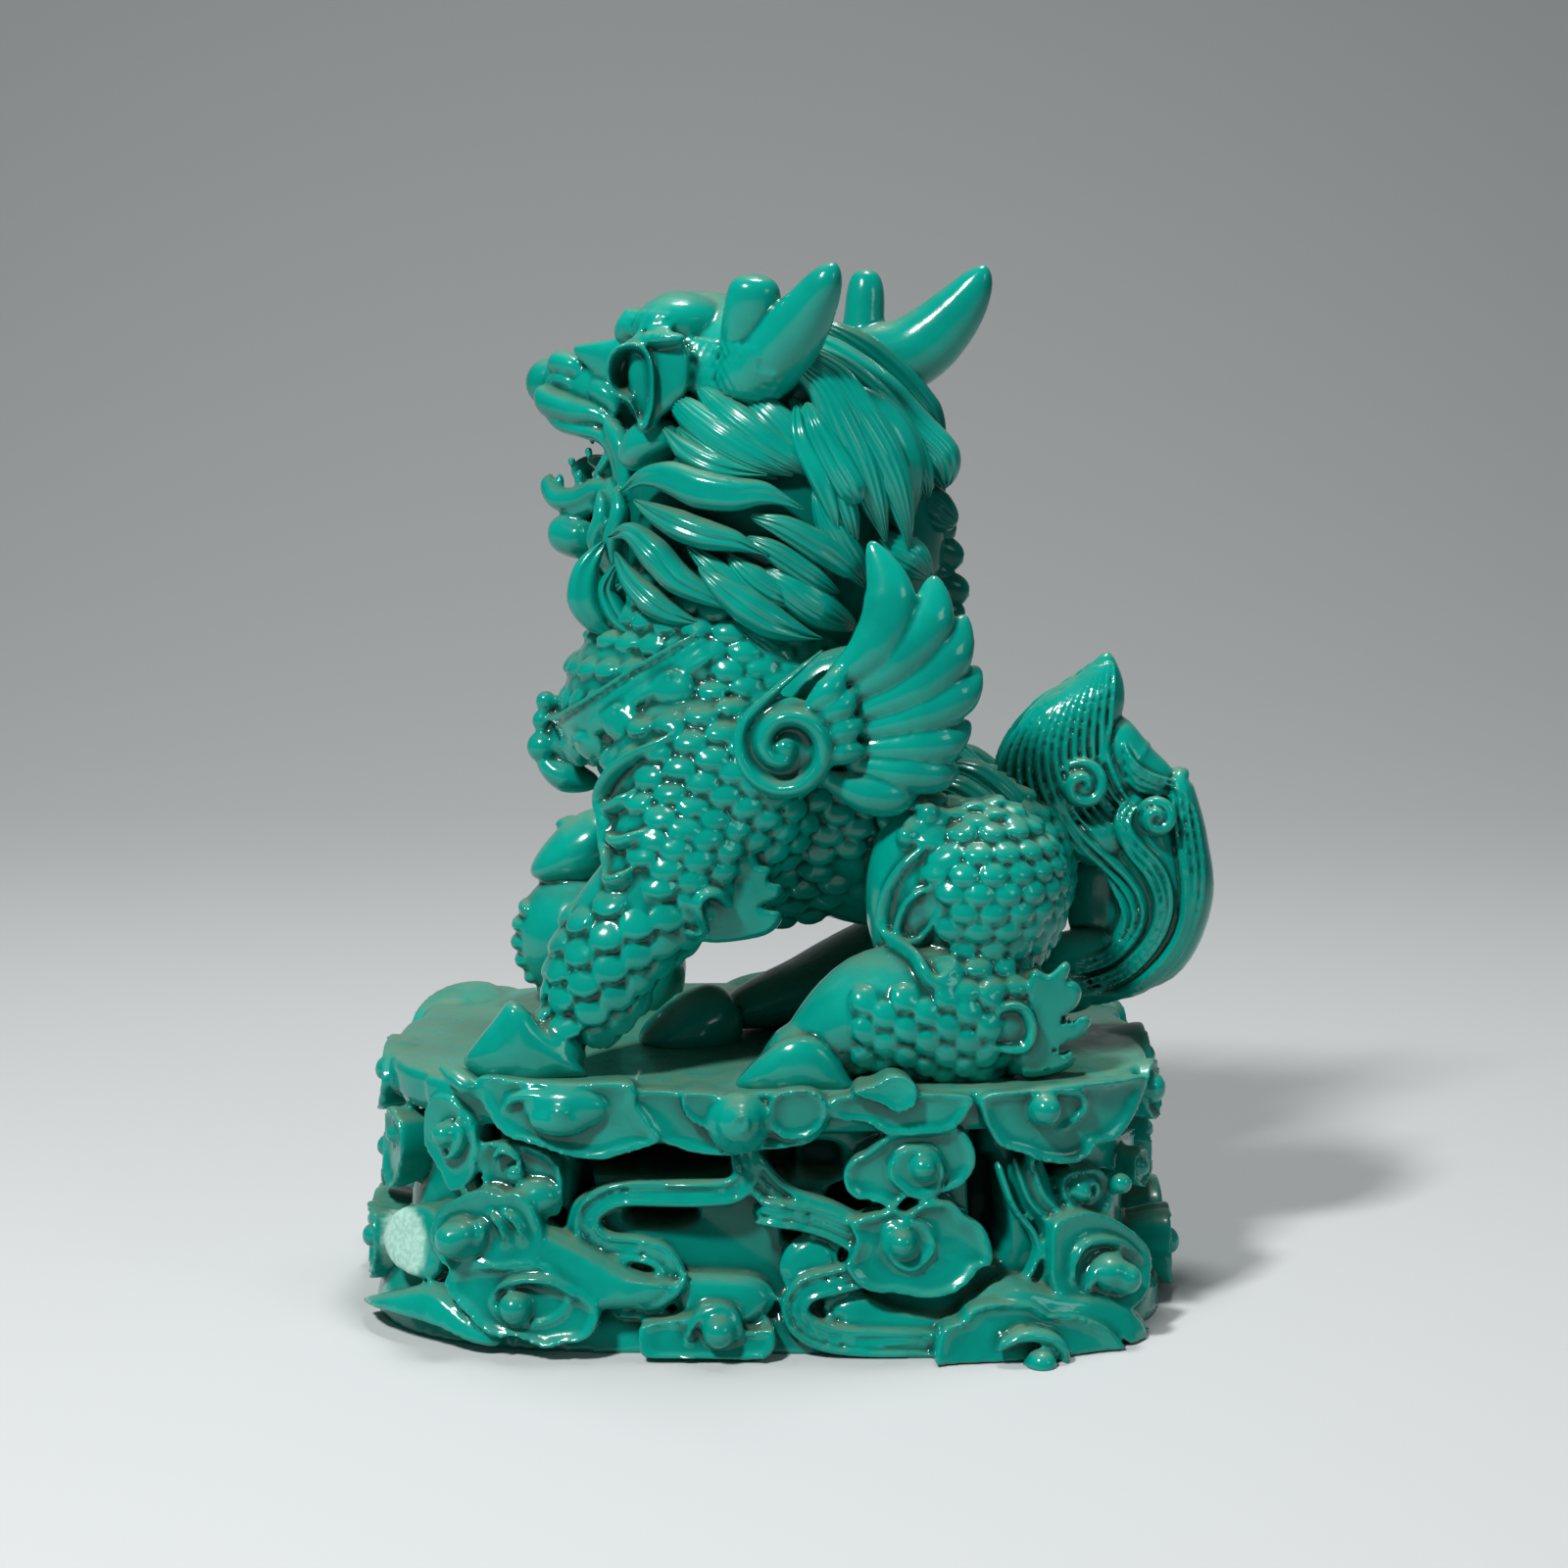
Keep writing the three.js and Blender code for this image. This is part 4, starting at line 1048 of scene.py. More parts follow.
    def core(self, clay: Clay) -> None:
        """The foot and the waist, with deep pits between clouds and water."""
        made, ball = clay.sphere(280, 70)
        angle = np.arctan2(ball[:, 1], ball[:, 0])
        share = np.arccos(np.clip(-ball[:, 2], -1, 1)) / np.pi
        z = np.clip((share - 0.1) / 0.8, 0, 1) * (PLATFORM_TOP - 2)
        fill = np.clip(np.minimum(share, 1 - share) / 0.1, 0, 1)
        inset = self.waist * smoothstep(1.5, 5.5, z) + 0.8
        inset = inset + 0.35 * np.sin(angle * 9 + z * 0.5) * smoothstep(3, 7, z)
        px, py = self.sight.frame_of(self.wall.point(angle, z, np.zeros_like(z)))
        for x, y, level, rise, depth in self.pits:
            away = (np.abs((px - x) / level) ** 3 + np.abs((py - y) / rise) ** 3) ** (1 / 3)
            inset = inset + depth * smoothstep(1.25, 0.75, away) * (np.sin(angle) < 0)
        where = self.wall.point(angle, z, -inset)
        where[:, :2] *= fill[:, None]
        clay.put(made, where)

    def stream(self, clay: Clay, points: Figures, half: float, out: float) -> None:
        """Running water: a ribbon, its edges and its middle line raised."""
        count = len(points) * 6
        low, way = self.lifted(points, out - 1.4, count)
        edge, middle = self.lifted(points, out, count, half)[0], self.lifted(points, out, count)[0]
        side = np.linalg.norm(edge - middle, axis=1).mean()
        clay.drawn(low, [1.7, 1.7], [side, side], side=way, around=20, rows=count, blunt=14)
        for aside, high, wide in ((-0.84, 0.95, 0.34), (0.05, 0.75, 0.26), (0.84, 0.95, 0.34)):
            line, facing = self.lifted(points, out, count, half * aside)
            clay.drawn(line, [high, high], [wide, wide], side=facing, around=14, rows=count * 2, blunt=14)

    def back_clouds(self) -> tuple[Cloud, ...]:
        """The back repeats the front's rows at even steps."""
        rows = (
            (19.9, 16.0, 7.6, -6.0, 5, 28.0, 152.0, 4),
            (12.6, 12.0, 7.2, 0.0, 4, 46.0, 134.0, 5),
            (4.2, 15.0, 8.0, 10.0, 5, 30.0, 150.0, 5),
        )
        made = []
        for z, wide, high, lean, count, first, last, lobes in rows:
            for i in range(count):
                side = 1 if i % 2 else -1
                angle = first + (last - first) * i / (count - 1)
                inner = (side * 1.4, 0.2, wide * 0.44, high * 0.58)
                made.append(Cloud(angle, z, wide, high, lobes, 0.4 + i, 0.12, 4.0 * side, lean, 1.5, inner,
                                  (side * 1.5, 0.2, 1.35)))
        return tuple(made)

    def inset(self, co: np.ndarray) -> np.ndarray:
        """How far places lie inside the envelope."""
        a, b = self.wall.halves(co[:, 2])
        p = self.wall.squareness
        share = (np.abs(co[:, 0] / a) ** p + np.abs(co[:, 1] / b) ** p) ** (1 / p)
        return (1 - share) * np.minimum(a, b)

    def chipped(self, co: np.ndarray) -> np.ndarray:
        """The pale chip low on the left end's clouds."""
        px, py = self.sight.frame_of(co)
        x, y, wide, high = self.chip
        away = np.sqrt(((px - x) / wide) ** 2 + ((py - y) / high) ** 2)
        away += 0.6 * smoothstep(0.2, 1.2, self.inset(co))
        rough = 0.08 * np.sin(co[:, 2] * 3.1 + co[:, 1]) * np.sin(co[:, 0] * 4.3)
        return smoothstep(1.12, 0.88, away + rough) * (co[:, 1] < 0)

    def deep(self, co: np.ndarray) -> np.ndarray:
        """The waist between the clouds lies deepest, and gets the darkest painted shade."""
        inset = self.inset(co)
        low = smoothstep(PLATFORM_TOP - 1.5, PLATFORM_TOP - 3.5, co[:, 2])
        return (0.42 * smoothstep(1.0, 2.4, inset) + 0.58 * smoothstep(3.0, 5.0, inset)) * low


@dataclass(frozen=True)
class Scales:
    """Rows of overlapping scales laid round an axis, each row half a scale on from the last.

    A row is laid in quarters, each a little past its end, and starts anew where the skin jumps to another
    limb. Skin that looks along the scales' fall, steeper than the last figure allows, stays bare.
    """

    path: Points
    pitch: float = 1.55
    wide: float = 2.05
    proud: float = 0.62
    tilt: float = 17.0
    reach: float = 40.0
    jump: float = 3.0
    past_quarter: float = 0.35
    past_middle: float = 1.0
    steepest: float = 0.15

    def lay(
        self, clay: Clay, under: BVHTree, wanted: Callable[[np.ndarray], bool], down: np.ndarray = DOWN
    ) -> int:
        """Lays the rows where they are wanted.

        Args:
            clay: what the scales join.
            under: the smooth skin that they lie on.
            wanted: says of a place on the skin whether it has scales.
            down: which way the scales' free edges point.

        Returns:
            How many scales were laid.
        """
        fine = np.linspace(0, 1, 60)
        line, _ = curve_at(self.path, fine)
        run = np.concatenate([[0], np.cumsum(np.linalg.norm(np.diff(line, axis=0), axis=1))])
        rows = int(run[-1] / self.pitch)
        laid = 0
        for row in range(rows):
            share = np.interp((row + 0.5) * self.pitch, run, fine)
            middle, forward = (value[0] for value in curve_at(self.path, np.array([share])))
            first = unit(np.cross(forward, (0.3, 1.0, 0.1)))
            second = np.cross(forward, first)
            for side in (-1, 1):
                start = math.atan2(side * second[1], side * first[1])
                for turn in (-1, 1):
                    hits = []
                    for angle in start + turn * np.linspace(0, np.pi / 2 + self.past_quarter, 60):
                        way = first * math.cos(angle) + second * math.sin(angle)
                        hit = under.ray_cast(Vector(middle + way * self.reach), Vector(-way), self.reach)
                        hits.append((np.array(hit[0]), np.array(hit[1])) if hit[0] else None)
                    if row % 2 == 0 and turn == 1 and hits[0] and wanted(hits[0][0]):
                        self.scale(clay, *hits[0], down)
                    for spot, normal in self.steps(hits, self.wide * 0.5 if row % 2 else 0.0):
                        if wanted(spot) and (spot[1] - middle[1]) * side > -self.past_middle:
                            self.scale(clay, spot, normal, down)
                            laid += 1
        return laid

    def steps(self, hits: list[Hit | None], gone: float) -> Iterator[Hit]:
        """Places a scale's width apart along a row.

        Args:
            hits: places close together on the skin, with its directions, or None beside it.
            gone: how far the row has run since its last scale.

        Yields:
            Each scale's place and its skin's direction.
        """
        for here, after in zip(hits, hits[1:]):
            if here is None or after is None:
                continue
            step = float(np.linalg.norm(after[0] - here[0]))
            if step > self.jump:
                gone = 0.0
                continue
            gone += step
            if gone >= self.wide:
                gone -= self.wide
                yield here[0] + (after[0] - here[0]) * (1 - gone / step), after[1]

    def scale(self, clay: Clay, spot: np.ndarray, normal: np.ndarray, down: np.ndarray) -> None:
        """One scale, its lower edge standing off the skin."""
        along = down - np.dot(down, normal) * normal
        size = np.linalg.norm(along)
        if size < self.steepest:
            return
        along /= size
        across = np.cross(along, normal)
        lean = math.radians(self.tilt)
        edge = along * math.cos(lean) + normal * math.sin(lean)
        top = np.cross(across, edge)
        axes = np.stack([across, edge, top])
        radii = (self.wide * 0.46, self.pitch * 0.7, self.proud)
        clay.egg(spot + normal * 0.12, radii, axes, around=14, rows=10, pinch=-0.15)


@dataclass(frozen=True)
class Shell:
    """A plate by its outline in the photograph's frame, listed clockwise, at a depth that may slope."""

    rim: Points
    depth: float
    slope: float = 0.0
    profile: Points = ((0, -1.5), (0.9, -1.2), (1, -0.2), (0.96, 0.5), (0.8, 0.9), (0.4, 1.2), (0, 1.2))
    centre: tuple[float, float] | None = None
    around: int = 72

    def carve(self, clay: Clay, sight: Sight, face: Face = Face.NEAR) -> None:
        """Adds the plate, or its like on the far side."""
        x0, y0 = self.centre or np.mean(self.rim, axis=0)

        def onto(x: np.ndarray, y: np.ndarray, out: np.ndarray) -> np.ndarray:
            """Places at the plate's depth."""
            depth = self.depth + self.slope * x - out
            where = np.array([sight.at_depth(*spot) for spot in zip(x0 + x, y0 + y, depth)])
            if face is Face.FAR:
                where[:, 1] = 2 * MID - where[:, 1]
            return where

        clay.dish(onto, outline_of(self.rim, (x0, y0)), self.profile, self.around)


# Cross-sections of shells, from back to front: the share of the outline and the outward figure.
HOOF: Figures = ((0, -4), (0.9, -3.6), (1, -1.5), (1, 1.4), (0.96, 2.6), (0.82, 3.3), (0.5, 3.8), (0, 4))
FLAME: Figures = (
    (0, -2.4), (0.9, -2.2), (1, -0.6), (0.98, 0.4), (0.9, 0.9), (0.8, 0.8), (0.5, 0.9), (0, 0.9)
)


@dataclass(frozen=True)
class Limb:
    """A drawn form by its middle line, then its half-sizes along its side and square to it."""

    line: Figures
    wide: tuple[float, ...]
    thick: tuple[float, ...]
    blunt: float = 2.0
    around: int = 20
    rows: int = 24
    even: bool = True
    side: tuple[float, float, float] = ACROSS

    def draw(self, clay: Clay) -> None:
        """Adds the form."""
        clay.drawn(self.line, self.wide, self.thick, side=self.side, blunt=self.blunt, around=self.around,
                   rows=self.rows, even=self.even)


@dataclass
class Body(Piece):
    """Trunk, haunches, shoulders, legs and hooves under scales, with flame-edged borders."""

    voxel: float = 0.24
    soften: int = 1
    hollow: float = 0.15
    sight: Sight = field(default_factory=Sight)
    haunch_from: float = 900.0

    name = "body"

    trunk: Limb = Limb(
        ((21, 1, 11), (14, 1, 17), (6, 1, 23), (-1, 1, 29), (-2.4, 1, 38), (0.5, 1, 52)),
        (8, 11.5, 13, 14, 13.5, 11), (8, 10, 12, 13.5, 13.5, 11), 3, 48, 40, False
    )
    # Near and far foreleg, then near and far hind leg.
    legs: tuple[Limb, ...] = (
        Limb(((-5, -12, 25), (-9, -14.4, 16.5), (-13, -15.6, 11.6), (-16.6, -16.6, 3)), (6, 5, 4.8, 4.6),
             (8, 5.6, 4.9, 4.6), 5, 32, 32, False),
        Limb(((-5, 12, 25), (-9, 13, 17), (-13, 13.5, 15), (-16, 14, 15.5)), (6, 4.6, 4, 3.6),
             (8, 5.4, 4.2, 3.6), 5, 32, 32, False),
        Limb(((26, -15, 4.4), (17, -16, 5.4), (9, -17, 5.6), (1, -18.4, 2)), (5, 5.6, 5, 3.6),
             (4.8, 6.2, 5.4, 2.8), 3, 32, 32, False),
        Limb(((26, 15, 4), (14, 11, 4.6), (3, 4, 3), (-5, -2, 1.6)), (5, 5.4, 4.6, 3.6),
             (4.6, 5.6, 3, 2.2), 3, 32, 32, False),
    )
    # Each hoof's heel and toe, and its half-height; the forelegs' first.
    hooves: tuple[tuple[Points, float], ...] = (
        (((-16, -17, 3.2), (-24, -17.6, 0.4)), 3.9),
        (((-14, 13.8, 16.5), (-23, 14.4, 12.4)), 4.0),
        (((5, -18, 3), (-1, -18.6, 0.2)), 3.6),
        (((-3, -1, 2), (-11.5, -5, 0.2)), 4.0),
    )
    collar_lean: float = -33.0
    collar_middle: tuple[float, float, float] = (-3.6, MID, 37.6)
    collar_radii: tuple[float, float] = (18.6, 14.4)
    # Each ring's height along the neck, its half-width and its half-thickness, from the top one down.
    collar_rings: Points = ((1.2, 1.3, 0.36), (0.5, 0.75, 0.6), (-0.25, 0.7, 0.7), (-0.95, 0.75, 0.6))
    # Each line's places in the frame, its half-width and its height.
    border_lines: tuple[tuple[Points, float, float], ...] = (
        (((700, 742), (682, 757), (652, 772), (632, 788), (621, 808), (618, 832), (622, 856), (620, 880),
            (618, 905)), 0.7, 1.5),
        (((618, 812), (628, 826), (642, 820), (652, 802)), 0.65, 1.4),
        (((621, 850), (634, 862), (650, 857), (664, 845)), 0.65, 1.4),
        (((617, 892), (626, 904), (638, 898), (648, 884)), 0.65, 1.4),
        (((690, 944), (702, 950), (712, 944), (706, 928), (708, 914), (722, 906), (735, 914), (738, 930),
            (728, 942)), 0.5, 1.6),
        (((966, 842), (946, 864), (920, 886), (905, 916), (904, 945), (915, 968), (935, 979), (945, 1000),
            (962, 1009), (978, 1000), (986, 984)), 0.62, 1.1),
        (((956, 905), (932, 913), (918, 938), (920, 960), (931, 967), (948, 948), (962, 926)), 0.4, 0.9),
        (((944, 988), (952, 1000), (966, 1000), (975, 988), (966, 978), (953, 981)), 0.4, 0.8),
        (((1012, 1040), (1022, 1028), (1038, 1027), (1049, 1040), (1049, 1058), (1036, 1069), (1014, 1067),
            (1004, 1058)), 0.5, 1.1),
        (((986, 1084), (1004, 1094), (1026, 1092), (1040, 1077), (1047, 1062)), 0.55, 1.1),
    )
    hoof_plates: tuple[Shell, ...] = (
        Shell(((520, 1021), (536, 1029), (550, 1046), (566, 1060), (582, 1074), (594, 1088), (598, 1100),
            (560, 1104), (505, 1105), (484, 1099), (473, 1082), (486, 1062), (504, 1040)), -17.5,
            profile=HOOF),
        Shell(((800, 1060), (822, 1056), (842, 1064), (856, 1080), (868, 1100), (872, 1116), (820, 1121),
            (770, 1118), (750, 1108), (760, 1092), (778, 1075)), -18.6, profile=HOOF),
    )
    flames: tuple[Shell, ...] = (
        Shell(((682, 936), (697, 942), (706, 930), (712, 912), (722, 902), (738, 899), (746, 905),
            (752, 893), (764, 885), (778, 883), (788, 887), (783, 896), (790, 901), (798, 903), (797, 914),
            (782, 921), (772, 926), (786, 929), (798, 931), (796, 943), (782, 954), (755, 960), (725, 962),
            (700, 955)), -16.2, 0.035, FLAME, (745, 932), 220),
        Shell(((1053, 990), (1070, 994), (1086, 981), (1093, 986), (1087, 1000), (1080, 1009), (1094, 1000),
            (1104, 1010), (1099, 1027), (1084, 1037), (1076, 1045), (1094, 1045), (1108, 1036),
            (1114, 1045), (1102, 1059), (1084, 1065), (1070, 1072), (1084, 1079), (1096, 1074),
            (1096, 1086), (1080, 1095), (1056, 1100), (1042, 1096), (1048, 1070), (1051, 1040)), -18.4,
            0.03, FLAME, (1062, 1045), 220),
    )

    def build(self) -> None:
        """Makes the body."""
        clay = Clay()
        self.torso(clay)
        for leg in self.legs:
            leg.draw(clay)
        self.feet(clay)
        under = clay.felt(0.5, 6)
        self.scales(clay, under)
        for face in Face:
            self.borders(clay, under, face)
        self.collar(clay, under)
        self.finish(clay)

    def torso(self, clay: Clay) -> None:
        """The trunk from rump to neck, the full chest, the haunches and the shoulders."""
        self.trunk.draw(clay)
        clay.egg((-8.6, 1, 31), (10, 11.6, 8.6), around=40, rows=28)
        clay.egg((1, 1, 19.6), (12, 10.4, 9.4), around=40, rows=28)
        clay.egg((19.4, 1, 15.4), (8.4, 11, 9.4), around=40, rows=28)
        for side in (-1, 1):
            clay.egg((18, MID + 12 * side, 15), (8, 8.2, 8.4), around=40, rows=28)
            clay.egg((13.4, MID + 13.2 * side, 15), (4.9, 5.4, 9), around=32, rows=24)
        for y in (-9.6, 11.6):
            clay.egg((-5, y, 24), (9.6, 7.4, 9.4), around=40, rows=28)

    def feet(self, clay: Clay) -> None:
        """Four smooth wedge hooves, and the ball under the raised far forefoot."""
        for (heel, toe), half in self.hooves:
            middle = [(a + b) / 2 for a, b in zip(heel, toe)]
            wide, thick = (half, half * 1.05, half * 0.8), (half * 0.95, half * 0.8, half * 0.3)
            Limb((heel, middle, toe), wide, thick, 4, 32, 24, False).draw(clay)
        clay.egg((-18.2, 14, 6.4), (6.3, 6.3, 6.5), around=40, rows=28)
        clay.egg((-11.8, 12.5, 3.6), (3.8, 4.4, 6), around=32, rows=20)
        for i in range(7):
            angle = math.radians(150 + i * 17)
            place = (-18.2 + 5.9 * math.cos(angle), 13, 6.4 + 6 * math.sin(angle))
            clay.egg(place, (0.9, 2.2, 0.8), around=12, rows=8)

    @staticmethod
    def scales(clay: Clay, under: BVHTree) -> None:
        """Scales on chest, flanks, haunches, forelegs and shins."""

        def on_trunk(p: np.ndarray) -> bool:
            """Chest and flanks, ahead of the haunches."""
            out = abs(p[1] - MID)
            ahead = p[0] < 10.6 - max(0.0, (p[2] - 17) * 0.3) + (7 if p[2] > 19 else 0)
            fore_leg = p[0] < -6 and p[2] < 15.6 and out > 9
            bordered = p[0] < -11.4 and 16 < p[2] < 26.6 and p[1] < -8
            bare = fore_leg or bordered or (p[0] < -14.5 and p[2] < 16)
            return bool(ahead and p[2] > 9.5 and not bare)

        def on_haunch(p: np.ndarray) -> bool:
            """The rounds of the haunches, with the bare hollow inside their border."""
            edge = 14.4 + max(0.0, (15 - p[2]) * 0.2) - max(0.0, (p[2] - 18) * 0.3)
            return bool(p[0] > edge and 7.2 < p[2] < 21.6)

        trunk = ((3, MID, 9), (0, MID, 22), (-3.4, MID, 34), (-2.4, MID, 46))
        count = Scales(trunk, 1.62, 2.9, 0.52).lay(clay, under, on_trunk)
        for y in (-11, 13):

            def off(p: np.ndarray, side: int = -1 if y < MID else 1) -> float:
                """How far a place lies from the middle towards this side."""
                return (p[1] - MID) * side

            haunch, top = ((18, y * 0.7, 6), (18, y * 0.7, 25)), ((12, y, 13), (25, y, 13))
            for path, sizes, wanted in (
                (haunch, (1.6, 2.5, 0.5), lambda p, off=off: on_haunch(p) and off(p) > 0.4),
                (top, (1.7, 2.3, 0.38), lambda p, off=off: p[2] > 21.4 and off(p) > 3.5),
            ):
                count += Scales(path, *sizes).lay(clay, under, wanted)
        back = np.array([-0.8, 0, -0.6])
        for path, sizes, wanted, down in (
            (((-8.4, -14.2, 17), (-12.6, -15.5, 11.6), (-16.2, -16.4, 3.2)), (2.0, 3.1, 0.42),
             lambda p: 1.6 + max(0.0, -13.9 - p[0]) * 0.6 < p[2] < 15.6 and p[1] < -6, DOWN),
            (((-8, 13, 18.6), (-14, 13.4, 15.4)), (1.6, 2.4, 0.62),
             lambda p: -14.5 < p[0] < -7.5 and p[1] > 7 and p[2] < 20, DOWN),
            (((7, -17.2, 5), (17, -16, 5.4), (25, -15, 4.6)), (1.75, 2.6, 0.55),
             lambda p: 4.6 < p[0] < 20 and p[2] < 8.6 and p[1] < -8, back),
            (((8, 7.5, 4), (14, 11, 4.6), (25, 15, 4.2)), (1.75, 2.6, 0.55),
             lambda p: p[0] > 10 and p[2] < 7.4 and p[1] > 8, back),
        ):
            count += Scales(path, *sizes).lay(clay, under, wanted, down)
        LOG.info("scales laid: %d", count)

    def borders(self, clay: Clay, under: BVHTree, face: Face) -> None:
        """Flame-edged borders of shoulder, elbow, haunch and hock."""
        ridge = Ridge(clay, under, face, self.sight)
        whole = face is Face.NEAR
        for points, half, high in self.border_lines:
            if whole or points[0][0] > self.haunch_from:
                ridge.line(points, half, high)
        for px, py, radius in ((947, 833, 1.0), (926, 855, 0.9), (905, 838, 0.75)):
            ridge.bead(px, py, radius)
        for flame in self.flames + self.hoof_plates if whole else self.flames[1:]:
            flame.carve(clay, self.sight, face)

    def collar(self, clay: Clay, under: BVHTree) -> None:
        """The scalloped collar with its beads and bell."""
        turn = math.radians(self.collar_lean)
        centre, (long, deep) = np.array(self.collar_middle), self.collar_radii
        up = np.array([math.sin(turn), 0, math.cos(turn)])
        for shift, wide, thick in self.collar_rings:
            ring = []
            for angle in np.radians(np.linspace(96, 264, 48)):
                x, y = long * math.cos(angle), deep * math.sin(angle)
                spot = np.array([x * math.cos(turn), y, -x * math.sin(turn)]) + centre
                way = unit(spot - centre)
                hit, normal, _, _ = under.ray_cast(Vector(spot + up * shift + way * 20), Vector(-way), 40)
                if hit:
                    ring.append((np.array(hit) + np.array(normal) * 0.6, np.array(normal)))
            places, normals = zip(*ring)
            clay.drawn(places, [wide] * 2, [thick] * 2, side=normals, around=16, rows=90, blunt=12)
        for spot, normal in ring[3:-3:5]:
            along = unit(DOWN - np.dot(DOWN, normal) * normal)
            axes = np.stack([np.cross(along, normal), along, normal])
            clay.egg(spot + along * 0.8 + normal * 0.2, (2.1, 1.7, 0.95), axes, around=24, rows=16)
            clay.egg(spot - along * 0.1 + normal * 1.05, (0.42, 0.42, 0.42), around=12, rows=8)
        clay.egg((-20.3, 1, 30.6), (0.95, 0.95, 0.95), around=16, rows=10)
        clay.egg((-20.7, 1, 28.8), (0.9, 0.9, 1.0), around=16, rows=10)
        clay.egg((-20.6, 1, 26.4), (1.5, 1.6, 1.5), around=28, rows=20)
        skirt = [(-21.2, 1, 25.4), (-18.6, 1, 23.8), (-15.4, 1, 23.0)]
        clay.drawn(skirt, [1.6, 2.3, 1.6], [0.9, 1.6, 1.0], around=24, rows=20, blunt=3)
        strap = [(-17, 1, 30), (-18.6, 1, 27), (-17.4, 1, 24.4)]
        clay.drawn(strap, [1.6, 1.8, 1.2], [1.4, 1.6, 1.0], around=20, rows=16)


@dataclass
class Ridge:
    """Raised lines and beads that lie on a skin where the photograph's frame shows them."""

    clay: Clay
    under: BVHTree
    face: Face
    sight: Sight
    near_depth: float = -14.0
    far_start: float = 60.0
    far_reach: float = 58.0

    def on_skin(self, px: float, py: float, lift: float) -> tuple[np.ndarray, np.ndarray]:
        """The place on the skin seen at (px, py) and its outward direction, or the far side's like."""
        hit, normal = self.sight.seen(self.under, px, py)
        if not hit or hit.y > MID:
            hit, normal, _, _ = self.under.find_nearest(Vector(self.sight.at_depth(px, py, self.near_depth)))
        if self.face is Face.FAR:
            start = Vector((hit.x, self.far_start, hit.z))
            far, way_out, _, _ = self.under.ray_cast(start, Vector((0, -1, 0)), self.far_reach)
            if not far:
                far, way_out, _, _ = self.under.find_nearest(Vector((hit.x, 2 * MID - hit.y, hit.z)))
            hit, normal = far, way_out
        return np.array(hit) + np.array(normal) * lift, np.array(normal)

    def line(self, points: Figures, half: float, high: float) -> None:
        """A ridge through places in the frame, tapering towards its ends."""
        flat = curve_at(points, np.linspace(0, 1, len(points) * 3))[0]
        found = np.array([self.on_skin(x, y, 0.12) for x, y in flat])
        for _ in range(3):
            found[1:-1] = (found[:-2] + 2 * found[1:-1] + found[2:]) / 4
        taper = np.array([0.6, 1.0, 1.0, 0.4])
        self.clay.drawn(found[:, 0], high * taper, half * taper, side=found[:, 1], around=14,
                        rows=len(found) * 2, blunt=3)

    def bead(self, px: float, py: float, radius: float) -> None:
        """A round bead half sunk in the skin."""
        place, _ = self.on_skin(px, py, radius * 0.35)
        self.clay.egg(place, (radius, radius, radius), around=18, rows=12)


@dataclass(frozen=True)
class Stroke:
    """A form by its middle line in the photograph's frame: across, down and depth, then half-sizes."""

    line: Points
    level: tuple[float, ...]
    depth: tuple[float, ...]
    blunt: float = 2.0

    def draw(self, clay: Clay, sight: Sight) -> None:
        """Adds the form."""
        points = [sight.at_depth(*p) for p in self.line]
        clay.drawn(points, self.depth, self.level, blunt=self.blunt, around=28, rows=36)


